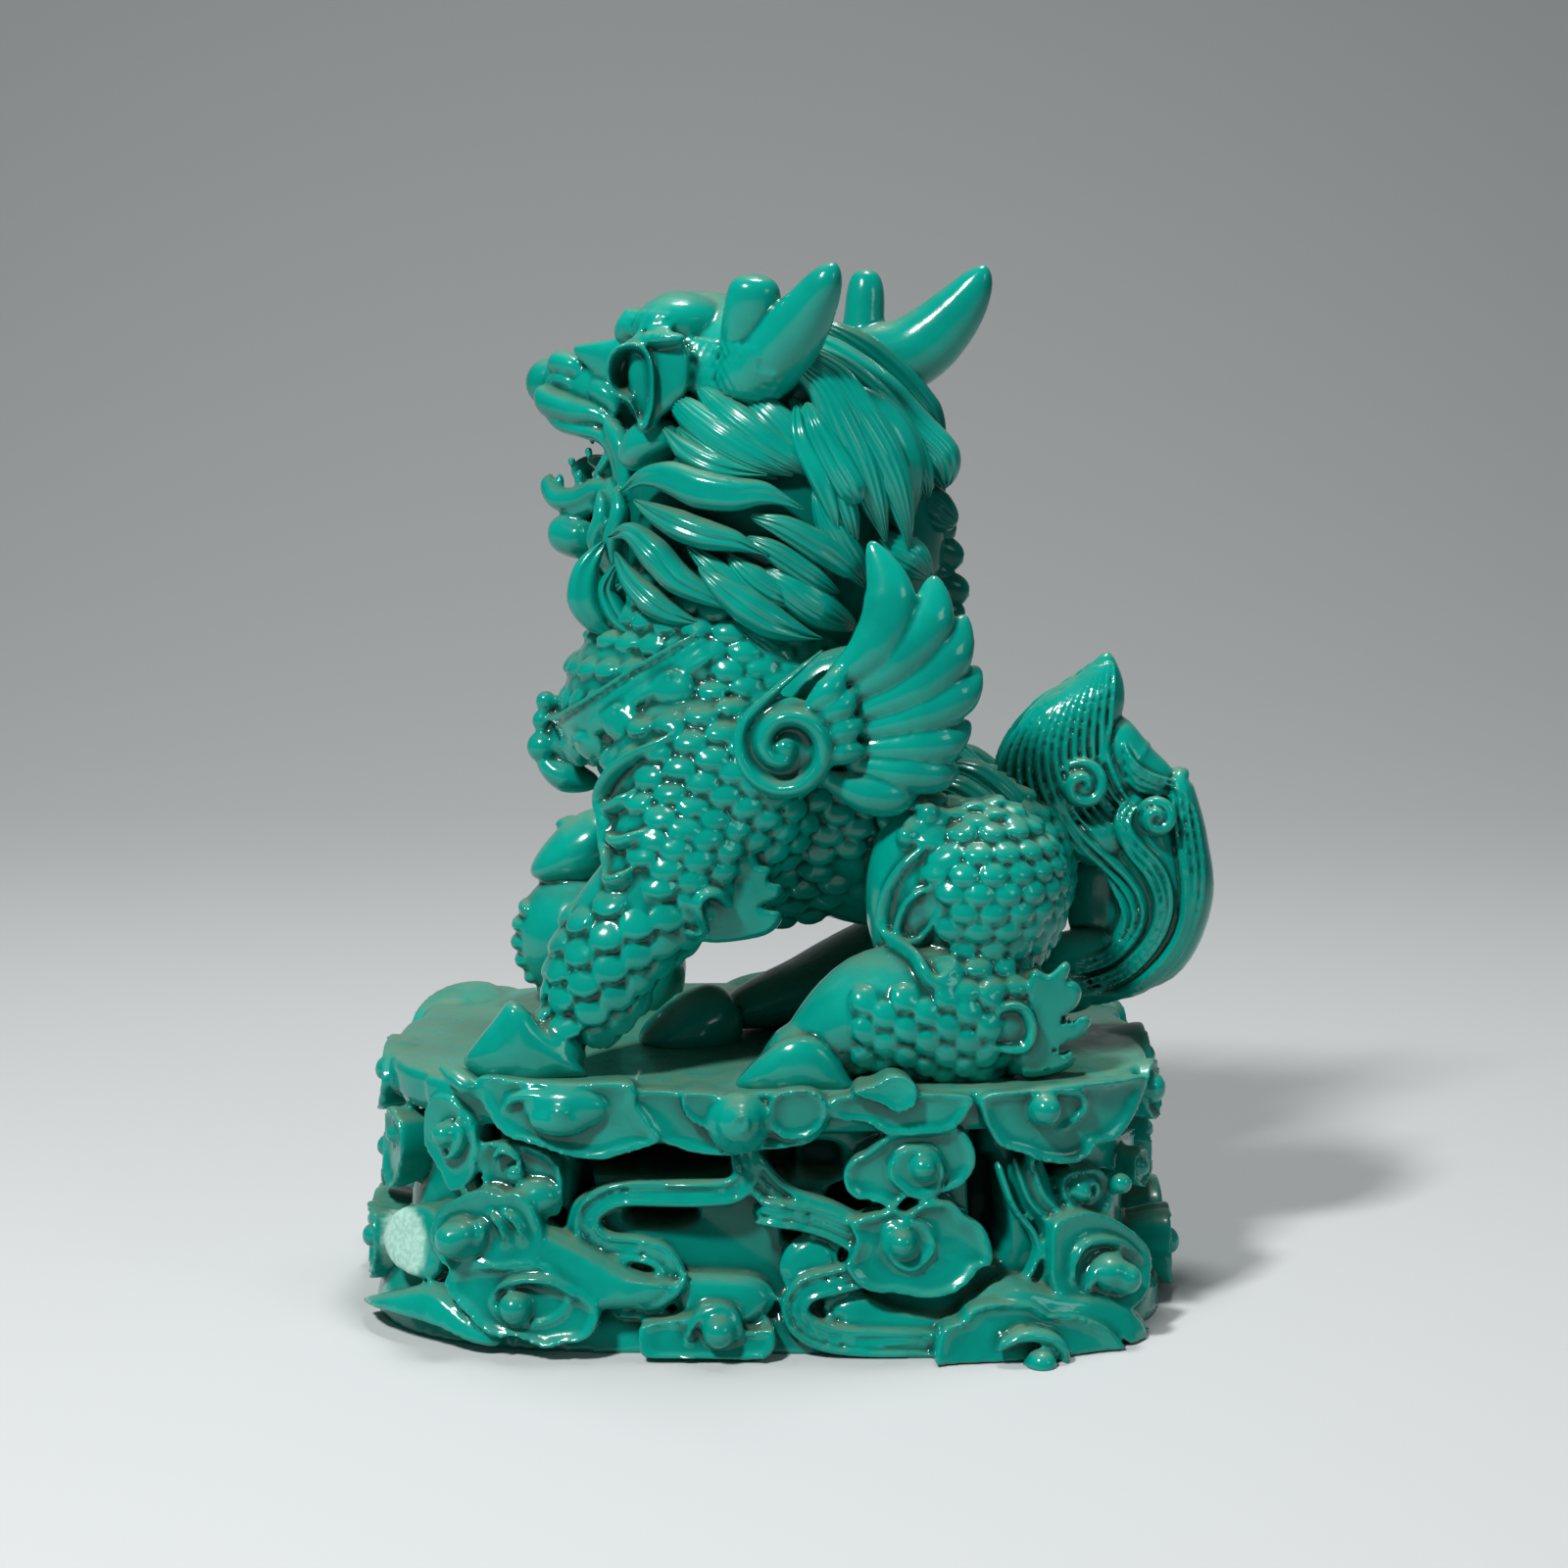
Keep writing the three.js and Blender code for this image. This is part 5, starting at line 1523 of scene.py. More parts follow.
@dataclass
class Head(Piece):
    """The open-mouthed head with brows, ears and antlers, turned to the far side."""

    voxel: float = 0.2
    soften: int = 3
    hollow: float = 0.18
    most: int = 150000
    sight: Sight = field(default_factory=Sight)
    turn: float = 32.0
    origin: tuple[float, float, float] = (-5.0, 2.0, 58.5)

    name = "head"

    # Skull, muzzle, jaw, tongue and chin in the head's own directions: ahead, near and up.
    core: tuple[Limb, ...] = (
        Limb(((-15, 0, -1), (-5, 0, 0.6), (3, 0, 1.4), (9, 0, 0.4)), (6.5, 8.4, 8.8, 5.4),
             (6, 7.4, 7.8, 4.8), 3, 40, 32, False),
        Limb(((5, 0, 0.4), (12, 0, 0.4), (18.0, 0, 0.2)), (6.4, 4.6, 3.4), (5, 3.4, 2.6), 4, 40, 32, False),
        Limb(((-2, 0, -7), (7, 0, -9.8), (15.2, 0, -9)), (7.6, 4.8, 2.6), (5.8, 2.6, 1.4), 4, 40, 32, False),
        Limb(((3, 0, -6), (9, 0, -7), (14, 0, -6.2)), (3.4, 2.6, 2), (2, 1.2, 0.8), rows=16),
        Limb(((11.6, 0, -10.6), (13.8, 0, -12), (13.0, 0, -14.0)), (2.6, 2.9, 1.2), (2.4, 2.6, 1.2),
             around=24, rows=20),
    )
    # The tip of the nose, then the far nostril, brow and eye, with their radii.
    lumps: Points = ((18.2, 0, 0.8, 2.3), (15.6, -3, 1.8, 1.8), (5.4, -4.2, 5.4, 3.2), (9.4, -4.6, 1.4, 1.5))
    # The far brow, lid, lips and fangs.
    far_forms: tuple[Limb, ...] = (
        Limb(((9, -3.6, 5.2), (6, -6, 6.0), (2, -7.6, 5.2)), (1.2, 1.6, 1), (1.1, 1.5, 0.8)),
        Limb(((5, -5, 3.2), (8.8, -5.6, 3.2), (12.6, -5.6, 4.8)), (1.7, 1.5, 0.4), (1.9, 1.3, 0.35)),
        Limb(((17.4, -1.6, -2.4), (14, -4.4, -2.2), (10.4, -5.4, -3.6), (8.4, -5.8, -7.2), (6.8, -6.2, -10)),
             (0.8, 1.1, 1.2, 1.2, 0.8), (0.8, 1.0, 1.2, 1.2, 0.8)),
        Limb(((14.8, -2.2, -8.4), (16.2, -1.8, -7.4), (14.6, -3, -6.6), (11, -4.2, -7.6)),
             (0.9, 1.1, 0.9, 0.8), (0.8, 0.9, 0.8, 0.7)),
        Limb(((15.0, -2.4, -2.6), (15.2, -2.4, -5.2)), (0.6, 0.25), (0.7, 0.3), around=12, rows=12),
        Limb(((13.2, -3.2, -7.6), (13.4, -3.0, -5.0)), (0.6, 0.25), (0.7, 0.3), around=12, rows=12),
    )
    near_forms: tuple[Stroke, ...] = (
        Stroke(((745, 395, -6), (772, 378, -8.5), (800, 352, -11), (823, 320, -13), (842, 288, -14.5),
            (853, 267, -15)), (3.0, 3.4, 3.1, 2.45, 1.6, 0.85), (3.2, 3.4, 3.0, 2.4, 1.7, 0.9), 6),
        Stroke(((762, 372, -7), (765, 345, -9), (768, 315, -10.5), (771, 280, -11.5)),
            (2.7, 2.6, 2.5, 2.25), (2.6, 2.4, 2.1, 1.7), 7),
        Stroke(((846, 385, 3.6), (885, 368, 3.6), (920, 364, 3.4), (950, 345, 3.2), (977, 317, 2.8),
            (996, 290, 2.2), (1006, 270, 1.6)), (3.0, 3.3, 3.4, 3.1, 2.5, 1.7, 0.95),
            (3.0, 3.2, 3.1, 2.8, 2.3, 1.6, 1.0), 6),
        Stroke(((876, 362, 4.2), (881, 330, 4.6), (883, 300, 4.8), (883, 274, 5)), (2.0, 1.9, 1.75, 1.4),
            (2.2, 2.0, 1.8, 1.4), 6),
        Stroke(((552, 399, 9), (566, 411, 7.5), (590, 419, 5.5), (612, 424, 3.5), (634, 436, 1.5)),
            (1.5, 1.7, 1.5, 1.2, 0.8), (2.2, 2.6, 2.4, 2.0, 1.2), 3),
        Stroke(((556, 421, 7), (572, 433, 6), (592, 439, 4.6), (614, 446, 2.8), (626, 462, 1.6),
            (630, 484, 1.0), (633, 506, 0.4)), (0.6, 0.75, 0.7, 0.65, 0.6, 0.55, 0.35),
            (1.2, 1.3, 1.3, 1.3, 1.3, 1.2, 0.8), 3),
        Stroke(((618, 430, 2), (630, 446, 0.6), (638, 468, -0.6), (640, 496, -1.2), (648, 520, -1.6)),
            (1.0, 1.1, 1.0, 0.9, 0.6), (1.4, 1.5, 1.5, 1.4, 0.8), 3),
        Stroke(((560, 376, 8), (572, 370, 7), (588, 376, 5.6), (600, 388, 4.6)), (0.9, 1.2, 1.1, 0.7),
            (1.2, 1.5, 1.4, 0.8)),
        Stroke(((560, 386, 7.4), (576, 388, 6), (594, 398, 4.6)), (0.5, 0.6, 0.4), (0.8, 0.9, 0.6)),
        Stroke(((600, 402, 4.2), (612, 398, 3.0), (624, 408, 2.0), (630, 424, 1.4)), (0.8, 1.1, 1.0, 0.6),
            (1.0, 1.3, 1.2, 0.8)),
        Stroke(((562, 484, 8.5), (561, 496, 7.6), (572, 509, 6.2), (592, 508, 4.6), (612, 498, 3.0),
            (626, 500, 2.0)), (0.7, 1.0, 1.15, 1.1, 1.0, 0.7), (1.0, 1.4, 1.6, 1.6, 1.4, 1.0), 3),
        Stroke(((570, 516, 6.4), (590, 520, 5.0), (612, 512, 3.4), (630, 512, 2.0)), (0.6, 0.8, 0.8, 0.5),
            (1.2, 1.4, 1.4, 1.0)),
        Stroke(((574, 528, 6.6), (580, 543, 5.6), (598, 552, 4.4), (612, 560, 3.4)), (1.5, 2.1, 1.9, 0.9),
            (1.8, 2.3, 2.2, 1.2), 3),
        Stroke(((626, 486, 3), (632, 535, 2), (640, 590, -1)), (1.8, 2.5, 3.0), (3.0, 3.8, 4.2), 3),
        Stroke(((612, 500, 0.4), (614, 526, -1), (608, 552, -0.6), (616, 580, -1)), (0.5, 0.8, 0.9, 0.5),
            (1.0, 1.4, 1.4, 0.9), 3),
        Stroke(((628, 496, -2), (632, 524, -3), (624, 556, -2.6), (630, 590, -3)), (0.5, 0.9, 0.9, 0.5),
            (1.0, 1.4, 1.4, 0.9), 3),
        Stroke(((572, 546, 6.4), (594, 548, 5.0)), (1.9, 1.9), (2.2, 2.2), 3),
        Stroke(((583, 466, 6.4), (584, 478, 6.2)), (0.5, 0.25), (0.6, 0.3)),
        Stroke(((600, 456, 4.8), (602, 470, 4.6)), (0.5, 0.25), (0.6, 0.3)),
        Stroke(((572, 496, 6.8), (571, 482, 6.8)), (0.55, 0.25), (0.6, 0.3)),
        Stroke(((590, 494, 5.2), (592, 478, 5.2)), (0.6, 0.3), (0.7, 0.4)),
        Stroke(((606, 488, 4.4), (618, 470, 3.0), (622, 452, 2.4)), (0.5, 0.5, 0.3), (0.8, 0.8, 0.5)),
        Stroke(((640, 470, -2.4), (664, 452, -5), (690, 446, -7.4)), (1.8, 2.2, 1.8), (2.2, 2.6, 2.2), 3),
        Stroke(((655, 340, 0), (692, 332, -1.6), (738, 336, -3.4)), (2.2, 3.1, 2.6), (4.2, 5.2, 4.0), 3),
        Stroke(((634, 345, 0.6), (650, 333, -1.2), (674, 331, -3.0)), (1.2, 1.7, 1.2), (1.6, 2.2, 1.6),
            2.6),
        Stroke(((640, 352, -3.4), (668, 347, -6.6), (696, 345, -9.4)), (0.5, 0.75, 0.6), (1.6, 2.0, 1.4),
            3),
    )
    near_shells: tuple[Shell, ...] = (
        Shell(((584, 356), (602, 349), (624, 346), (648, 338), (664, 348), (660, 372), (642, 388),
            (618, 389), (600, 376)), 2.2, -0.045),
        Shell(((648, 347), (672, 344), (694, 345), (703, 360), (704, 385), (700, 402), (688, 415),
            (674, 428), (666, 440), (655, 442), (650, 428), (646, 410), (640, 380)), -7.0, -0.02, ((0, -3),
            (0.9, -2.6), (1, -0.4), (0.97, 0.5), (0.9, 0.95), (0.6, 1.15), (0, 1.2))),
        Shell(((618, 378), (622, 361), (633, 351), (648, 349), (661, 357), (667, 374), (668, 395),
            (667, 416), (660, 438), (653, 438), (648, 422), (642, 411), (630, 405), (621, 394)), -8.0,
            -0.02, ((0, -4), (0.8, -3.4), (0.97, -0.8), (1, 0.5), (0.96, 0.9), (0.88, 0.8), (0.8, 0.2),
            (0.7, -1.0), (0.5, -2.0), (0, -2.4)), (643, 381)),
    )

    def on_head(self, ahead: float, near: float, up: float) -> np.ndarray:
        """A place given in the head's own directions."""
        t = math.radians(self.turn)
        x = -math.cos(t) * ahead - math.sin(t) * near
        y = math.sin(t) * ahead - math.cos(t) * near
        return np.array([x, y, up]) + self.origin

    def side(self) -> tuple[float, float, float]:
        """The head's own sideways direction."""
        t = math.radians(self.turn)
        return (-math.sin(t), -math.cos(t), 0.0)

    def form(self, clay: Clay, limb: Limb) -> None:
        """A limb whose middle line is given in the head's own directions."""
        line = [self.on_head(*p) for p in limb.line]
        replace(limb, line=line, side=self.side()).draw(clay)

    def build(self) -> None:
        """Makes the head."""
        clay = Clay()
        for limb in self.core:
            self.form(clay, limb)
        for ahead, near, up, radius in self.lumps:
            clay.egg(self.on_head(ahead, near, up), (radius, radius, radius), around=24, rows=16)
        for form in self.near_forms:
            form.draw(clay, self.sight)
        for shell in self.near_shells:
            shell.carve(clay, self.sight)
        for limb in self.far_forms:
            self.form(clay, limb)
        self.beads(clay)
        self.far_ear(clay)
        self.finish(clay)

    def beads(self, clay: Clay) -> None:
        """Small pebbled skin on brow, temple and the roots of the antlers."""
        under = clay.felt(0.4, 3)
        for px, py, wide, high in ((705, 348, 9, 8), (640, 318, 6, 4), (742, 376, 7, 4)):
            for i in range(wide):
                for j in range(high):
                    x, y = px + i * 8.0 + (j % 2) * 4.0, py + j * 7.0 + i * 1.1
                    spot, normal = self.sight.seen(under, x, y)
                    if spot:
                        self.bead(clay, np.array(spot), np.array(normal))

    @staticmethod
    def bead(clay: Clay, spot: np.ndarray, normal: np.ndarray) -> None:
        """One low bead on the skin."""
        first = unit(np.cross(normal, (0.1, 0.2, 1.0)))
        axes = np.stack([first, np.cross(normal, first), normal])
        clay.egg(spot, (0.44, 0.4, 0.3), axes, around=10, rows=7)

    def far_ear(self, clay: Clay) -> None:
        """The far ear, cupped and open to the front, its lobe drawn to a point."""
        t = math.radians(self.turn)
        facing = unit(np.array([-math.cos(t), math.sin(t), 0.0]) * 0.62 - np.array(self.side()) * 0.78)
        rise = np.array([0.06, 0, 1.0])
        rise = unit(rise - np.dot(rise, facing) * facing)
        level = np.cross(rise, facing)
        middle = self.on_head(1.6, -8.8, 1.4)

        def onto(x: np.ndarray, y: np.ndarray, z: np.ndarray) -> np.ndarray:
            """Places on the ear's cup."""
            return middle + x[:, None] * level + y[:, None] * rise + z[:, None] * facing

        def rim(angle: np.ndarray) -> tuple[np.ndarray, np.ndarray]:
            """A rounded top and a drawn-out lobe."""
            low = np.clip(-np.sin(angle), 0, 1)
            return np.cos(angle) * (2.7 - 1.3 * low**2), np.sin(angle) * (3.3 + 2.0 * low**3)

        cup = [(0, -3.6), (0.6, -3.2), (0.9, -1.6), (1, 0.2), (0.98, 0.9), (0.88, 1.1), (0.74, 0.7),
               (0.6, -0.4), (0.35, -1.2), (0, -1.4)]
        clay.dish(onto, rim, cup, 48)


@dataclass(frozen=True)
class Lock:
    """A lock of hair by its middle line in the photograph's frame, root to tip.

    Then follow its half-widths, how far it stands off the mane's coat, its combed strands, and its depth
    where that isn't the coat's.
    """

    line: Points
    half: tuple[float, ...]
    lift: float = 0.0
    strands: float = 2
    depth: float | None = None
    blunt: float = 2.0


@dataclass
class Mane(Piece):
    """Mane, spine hair and crest: combed locks on a rounded core, their middle lines on its coat."""

    voxel: float = 0.0
    hollow: float = 0.16
    groove: float = 0.3
    sight: Sight = field(default_factory=Sight)
    middle: tuple[float, float, float] = (1.4, MID, 46.0)
    core: tuple[float, float, float] = (14.6, 12.4, 16.6)
    coat: tuple[float, float, float] = (16.6, 12.4, 19.0)

    name = "mane"

    locks: tuple[Lock, ...] = (
        Lock(((676, 436), (700, 460), (736, 477), (786, 485)), (0.6, 1.1, 1.2, 0.4), 1.3, 2),
        Lock(((680, 398), (706, 424), (742, 450), (778, 470), (812, 486)), (1.2, 1.6, 1.7, 1.5, 0.5), 0.8,
            7),
        Lock(((712, 394), (742, 422), (776, 448), (806, 468), (830, 486)), (1.3, 1.7, 1.7, 1.5, 0.5), 0.7,
            7),
        Lock(((750, 394), (782, 420), (808, 446), (828, 470), (840, 494)), (1.3, 1.6, 1.6, 1.3, 0.5), 0.6,
            6),
        Lock(((690, 436), (718, 458), (752, 476), (796, 490)), (0.8, 1.2, 1.1, 0.4), 0.5, 4),
        Lock(((633, 502), (656, 487), (683, 487), (714, 499), (748, 504), (782, 504), (824, 521)),
             (0.5, 1.0, 1.5, 1.7, 1.6, 1.3, 0.3), 2.0, 1),
        Lock(((646, 510), (667, 523), (694, 536), (722, 546), (752, 553), (786, 568)),
            (0.6, 1.1, 1.4, 1.35, 1.1, 0.3), 1.7, 2),
        Lock(((764, 526), (800, 538), (836, 558), (866, 579), (880, 593)), (0.8, 1.2, 1.35, 1.2, 0.4), 1.4,
            3),
        Lock(((760, 548), (795, 565), (830, 588), (858, 606)), (0.8, 1.2, 1.2, 0.5), 0.8, 4),
        Lock(((620, 548), (643, 543), (667, 564), (691, 590), (722, 608), (753, 625)),
            (0.6, 1.1, 1.5, 1.4, 1.1, 0.3), 1.8, 2),
        Lock(((627, 562), (642, 590), (666, 614), (690, 628), (716, 637)), (0.6, 1.1, 1.3, 1.1, 0.4), 1.5,
            2),
        Lock(((617, 552), (599, 580), (595, 611), (608, 635), (629, 652)), (0.8, 1.3, 1.45, 1.2, 0.4), 1.0,
            1),
        Lock(((630, 574), (619, 600), (628, 624), (646, 645), (660, 659)), (0.6, 1.0, 1.1, 0.9, 0.4), 1.2,
            2),
        Lock(((712, 578), (734, 597), (762, 618), (789, 635), (816, 646), (841, 652)),
            (0.8, 1.35, 1.65, 1.5, 1.0, 0.25), 1.9, 2),
        Lock(((700, 556), (728, 580), (756, 604), (784, 622), (818, 634)), (0.8, 1.2, 1.3, 1.1, 0.4), 1.1,
            3),
        Lock(((742, 566), (766, 588), (792, 606), (826, 622)), (0.9, 1.3, 1.3, 0.5), 0.9, 4),
        Lock(((776, 580), (806, 600), (838, 622), (876, 642)), (1.2, 1.9, 1.9, 1.2), 0.4, 7),
        Lock(((706, 630), (736, 656), (764, 684), (792, 706)), (1.2, 1.8, 1.8, 1.2), 0.3, 7),
        Lock(((744, 632), (778, 658), (808, 684), (836, 706)), (1.2, 1.8, 1.8, 1.2), 0.3, 7),
        Lock(((680, 624), (704, 648), (728, 676), (752, 700)), (1.0, 1.5, 1.5, 1.0), 0.2, 6),
        Lock(((648, 640), (676, 650), (704, 664), (726, 684)), (0.8, 1.3, 1.3, 0.7), 0.2, 5),
        Lock(((806, 404), (826, 440), (846, 484), (864, 530), (874, 566)), (1.0, 1.5, 1.6, 1.4, 0.5), 0.9,
            5),
        Lock(((812, 412), (816, 446), (836, 487), (849, 520), (855, 545)), (0.7, 0.95, 1.0, 0.8, 0.3), 1.8,
            1),
        Lock(((822, 410), (836, 440), (854, 474), (869, 500), (875, 515)), (0.8, 1.2, 1.4, 1.4, 0.9), 2.2,
            3, None, 4),
        Lock(((800, 350), (848, 384), (874, 424), (897, 462), (913, 496), (923, 530), (928, 568)),
             (1.5, 1.9, 2.1, 2.0, 1.7, 1.2, 0.3), 0.0, 6, -10.2),
        Lock(((800, 362), (838, 392), (858, 430), (880, 476), (894, 518), (905, 556)),
            (1.5, 1.8, 2.0, 1.9, 1.5, 0.6), 0.0, 6, -10.8),
        Lock(((806, 340), (850, 368), (896, 404), (930, 442), (958, 470), (966, 498)),
            (1.6, 2.0, 2.2, 2.3, 2.2, 1.2), 0.0, 4, -4.5, 5),
        Lock(((806, 346), (850, 376), (888, 412), (916, 450), (938, 486), (946, 512)),
            (1.4, 1.9, 2.1, 2.1, 1.8, 1.0), 0.0, 6, -6.5),
        Lock(((900, 470), (930, 500), (955, 522), (976, 536)), (1.4, 1.9, 1.9, 1.4), 0.0, 5, -3.0, 4),
        Lock(((872, 540), (902, 556), (930, 572), (950, 590)), (1.4, 2.0, 2.0, 1.4), 0.0, 7, -8.5),
        Lock(((830, 500), (848, 540), (868, 572), (884, 600)), (1.0, 1.5, 1.5, 0.8), 0.6, 5),
        Lock(((880, 590), (900, 610), (925, 640), (945, 670)), (1.4, 2.0, 2.0, 1.2), 0.0, 7, -8.0),
        Lock(((938, 796), (972, 812), (1012, 842), (1056, 880)), (1.2, 2.2, 2.2, 0.7), 0.0, 6, -7.0),
        Lock(((958, 780), (990, 796), (1026, 826), (1062, 866)), (1.2, 2.2, 2.2, 0.7), 0.0, 6, -4.5),
        Lock(((836, 330), (880, 360), (916, 392), (944, 424), (962, 452)), (1.4, 1.8, 1.9, 1.8, 1.0), 0.0,
            5, 0.5, 4),
    )

    def build(self) -> None:
        """Makes the mane."""
        clay = Clay()
        clay.egg(self.middle, self.core, around=96, rows=64)
        for face in Face:
            for lock in self.locks:
                self.lay(clay, lock, face)
        clay.egg(self.sight.at_depth(961, 455, -2), (1.0, 1.4, 0.9))
        self.nape(clay)
        self.crest(clay)
        self.spine(clay)
        self.finish(clay)

    def deep(self, co: np.ndarray) -> np.ndarray:
        """Painted shade on the core between the locks."""
        off = (co - self.middle - (0, 0, PLATFORM_TOP)) / self.coat
        return 0.6 * smoothstep(1.09, 1.0, np.linalg.norm(off, axis=1))

    def lay(self, clay: Clay, lock: Lock, face: Face) -> None:
        """Lays a lock on the mane's rounded mass, on its own side."""
        (x0, _, z0), (wide, deep, high) = self.middle, self.coat
        points = []
        for px, py in lock.line:
            y = -10.0 if lock.depth is None else lock.depth
            if lock.depth is None:
                for _ in range(6):
                    x, _, z = self.sight.at_depth(px, py, y)
                    swell = math.sqrt(max(0.1, 1 - ((x - x0) / wide) ** 2 - ((z - z0) / high) ** 2))
                    y += 0.7 * (MID - deep * swell - lock.lift - y)
            x, _, z = self.sight.at_depth(px, py, y)
            points.append((x, y if face is Face.NEAR else 2 * MID - y, z))
        proud = [h * 0.9 + 0.35 for h in lock.half]
        clay.drawn(points, proud, lock.half, blunt=lock.blunt, around=56, rows=8 * len(points),
                   strands=lock.strands, groove=self.groove)

    def nape(self, clay: Clay) -> None:
        """Hair combed back from the crown, between the horns and down the neck."""
        for y in (-7.5, -4, -0.5, 3, 6.5, 9.5):
            off = abs(y - MID)
            points = [(2, y * 0.8 + 0.2, 61.6 - off * 0.15), (8.6, y, 58.4 - off * 0.2),
                      (14.0 - off * 0.3, y, 52.0), (15.6 - off * 0.4, y * 0.95, 46.4)]
            clay.drawn(points, [2.0, 2.6, 2.6, 1.2], [1.4, 2.2, 2.4, 0.9], side=(0.6, 0, 0.8), around=48,
                       rows=36, strands=5, groove=self.groove)

    def crest(self, clay: Clay) -> None:
        """The flame-edged crest down the spine."""
        for (x, z), (tip_x, tip_z), size in (
            ((12.6, 46.4), (16.9, 45.6), 1.7),
            ((12.8, 44.4), (17.6, 43.2), 1.7),
            ((13.0, 42.4), (16.8, 41.4), 1.5),
            ((13.4, 40.6), (18.2, 40.2), 1.7),
            ((13.4, 38.6), (17.8, 38.0), 1.6),
            ((13.6, 34.6), (17.4, 33.0), 1.7),
            ((14.4, 30.6), (18.0, 29.4), 1.6),
        ):
            points = [(x, MID, z), ((x + tip_x) / 2, MID, (z + tip_z) / 2 + 0.5), (tip_x, MID, tip_z)]
            clay.drawn(points, [1.9, 1.5, 1.0], [size, size, size * 0.8], around=24, rows=20, blunt=4)

    def spine(self, clay: Clay) -> None:
        """Combed hair down the lower back, wide at the wings and narrow at the rump."""
        for y, drop in ((-3.2, 0.9), (-1.2, 0.25), (1.0, 0.0), (3.2, 0.25), (5.2, 0.9)):
            off = y - MID
            points = [(12.4, y, 30 - drop), (16.6, y, 25.6 - drop), (20.4, MID + off * 0.8, 21.8 - drop),
                      (25.0, MID + off * 0.5, 15.4 - drop)]
            clay.drawn(points, [1.6, 1.8, 1.7, 0.8], [1.2, 1.5, 1.4, 0.5], side=(0.7, 0, 0.7), around=40,
                       rows=40, strands=4, groove=0.2)


@dataclass
class Wings(Piece):
    """A pair of wings: a rolled scroll, short coverts and long curved feathers."""

    voxel: float = 0.25
    soften: int = 2
    hollow: float = 0.22
    turns: float = 1.45
    eye: tuple[float, float] = (1.6, 28.7)

    name = "wings"

    # Each feather's places across and up on its wing, and its half-width.
    long_feathers: tuple[tuple[Points, float], ...] = (
        (((4.6, 33.6), (9.0, 37.0), (10.4, 41.4), (8.7, 46.2)), 2.0),
        (((6.0, 32.4), (11.0, 35.8), (13.8, 39.4), (14.3, 43.2)), 2.0),
        (((6.6, 31.0), (12.4, 33.4), (15.6, 36.4), (17.0, 39.8)), 1.9),
        (((7.0, 29.6), (13.0, 31.2), (16.4, 33.0), (18.3, 35.2)), 1.8),
        (((7.0, 28.2), (12.6, 28.5), (15.3, 28.9), (17.6, 30.4)), 1.7),
        (((6.4, 27.0), (11.6, 26.3), (14.4, 26.0), (16.6, 26.2)), 1.6),
        (((4.0, 26.2), (8.4, 24.4), (11.0, 24.2), (13.2, 25.2)), 1.6),
    )
    short_feathers: tuple[tuple[Points, float], ...] = (
        (((3.2, 31.8), (5.2, 33.4), (6.2, 35.4)), 1.3),
        (((3.2, 30.6), (6.0, 32.0), (7.4, 33.4)), 1.3),
        (((3.2, 29.4), (6.2, 30.0), (8.2, 30.8)), 1.3),
        (((3.2, 28.2), (6.2, 28.2), (8.4, 28.4)), 1.2),
    )

    def build(self) -> None:
        """Makes both wings."""
        clay = Clay()
        for face in Face:
            self.one(clay, face)
        self.finish(clay)

    def one(self, clay: Clay, face: Face) -> None:
        """One wing on its shoulder."""
        near = face.value

        def on_wing(x: float, z: float, out: float) -> tuple[float, float, float]:
            """A place on the wing's curved plane."""
            return (x, MID - near * (out - 0.12 * abs(x - 4)), z)

        for points, half in self.long_feathers:
            ways = [on_wing(x, z, 16.2 + lift) for (x, z), lift in zip(points, (0.2, 0.7, 0.4, -0.6))]
            wide = [half * 0.7, half * 1.1, half * 1.15, half * 0.7]
            clay.drawn(ways, [1.2, 1.7, 1.6, 0.9], wide, around=28, rows=36, blunt=2.6)
        for points, half in self.short_feathers:
            ways = [on_wing(x, z, 17.6 + lift) for (x, z), lift in zip(points, (0.0, 0.3, -0.2))]
            clay.drawn(ways, [1.0, 1.2, 0.8], [half * 0.7, half, half * 0.7], around=24, rows=24, blunt=2.6)
        x0, z0 = self.eye
        scroll = [on_wing(5.2, 37.2, 16.2), on_wing(1.6, 34.2, 17.0)]
        for share in np.linspace(0, 1, 19):
            angle = math.pi * (0.767 + 2 * self.turns * share)
            reach = 4.1 + (0.8 - 4.1) * share**1.5
            x, z = x0 + math.cos(angle) * reach, z0 + math.sin(angle) * reach
            scroll.append(on_wing(x, z, 17.4 + 1.3 * share))
        clay.drawn(scroll, [1.4, 1.7, 1.7, 1.5], [0.35, 0.85, 0.9, 0.85, 0.7], around=20, rows=120, blunt=6)
        clay.egg(on_wing(x0, z0, 17.0), (4.2, 1.3, 4.2))
        clay.egg(on_wing(1.5, 28.6, 18.4), (1.0, 1.0, 1.0))
        clay.egg((8.2, MID - near * 13.2, 30.4), (8, 3.0, 6.6), around=40, rows=28)
        root = [on_wing(0.6, 26, 14), on_wing(-1.0, 29.6, 14), on_wing(2.6, 33, 14)]
        clay.drawn(root, [1.8, 2.2, 1.2], [1.6, 2.0, 1.0])


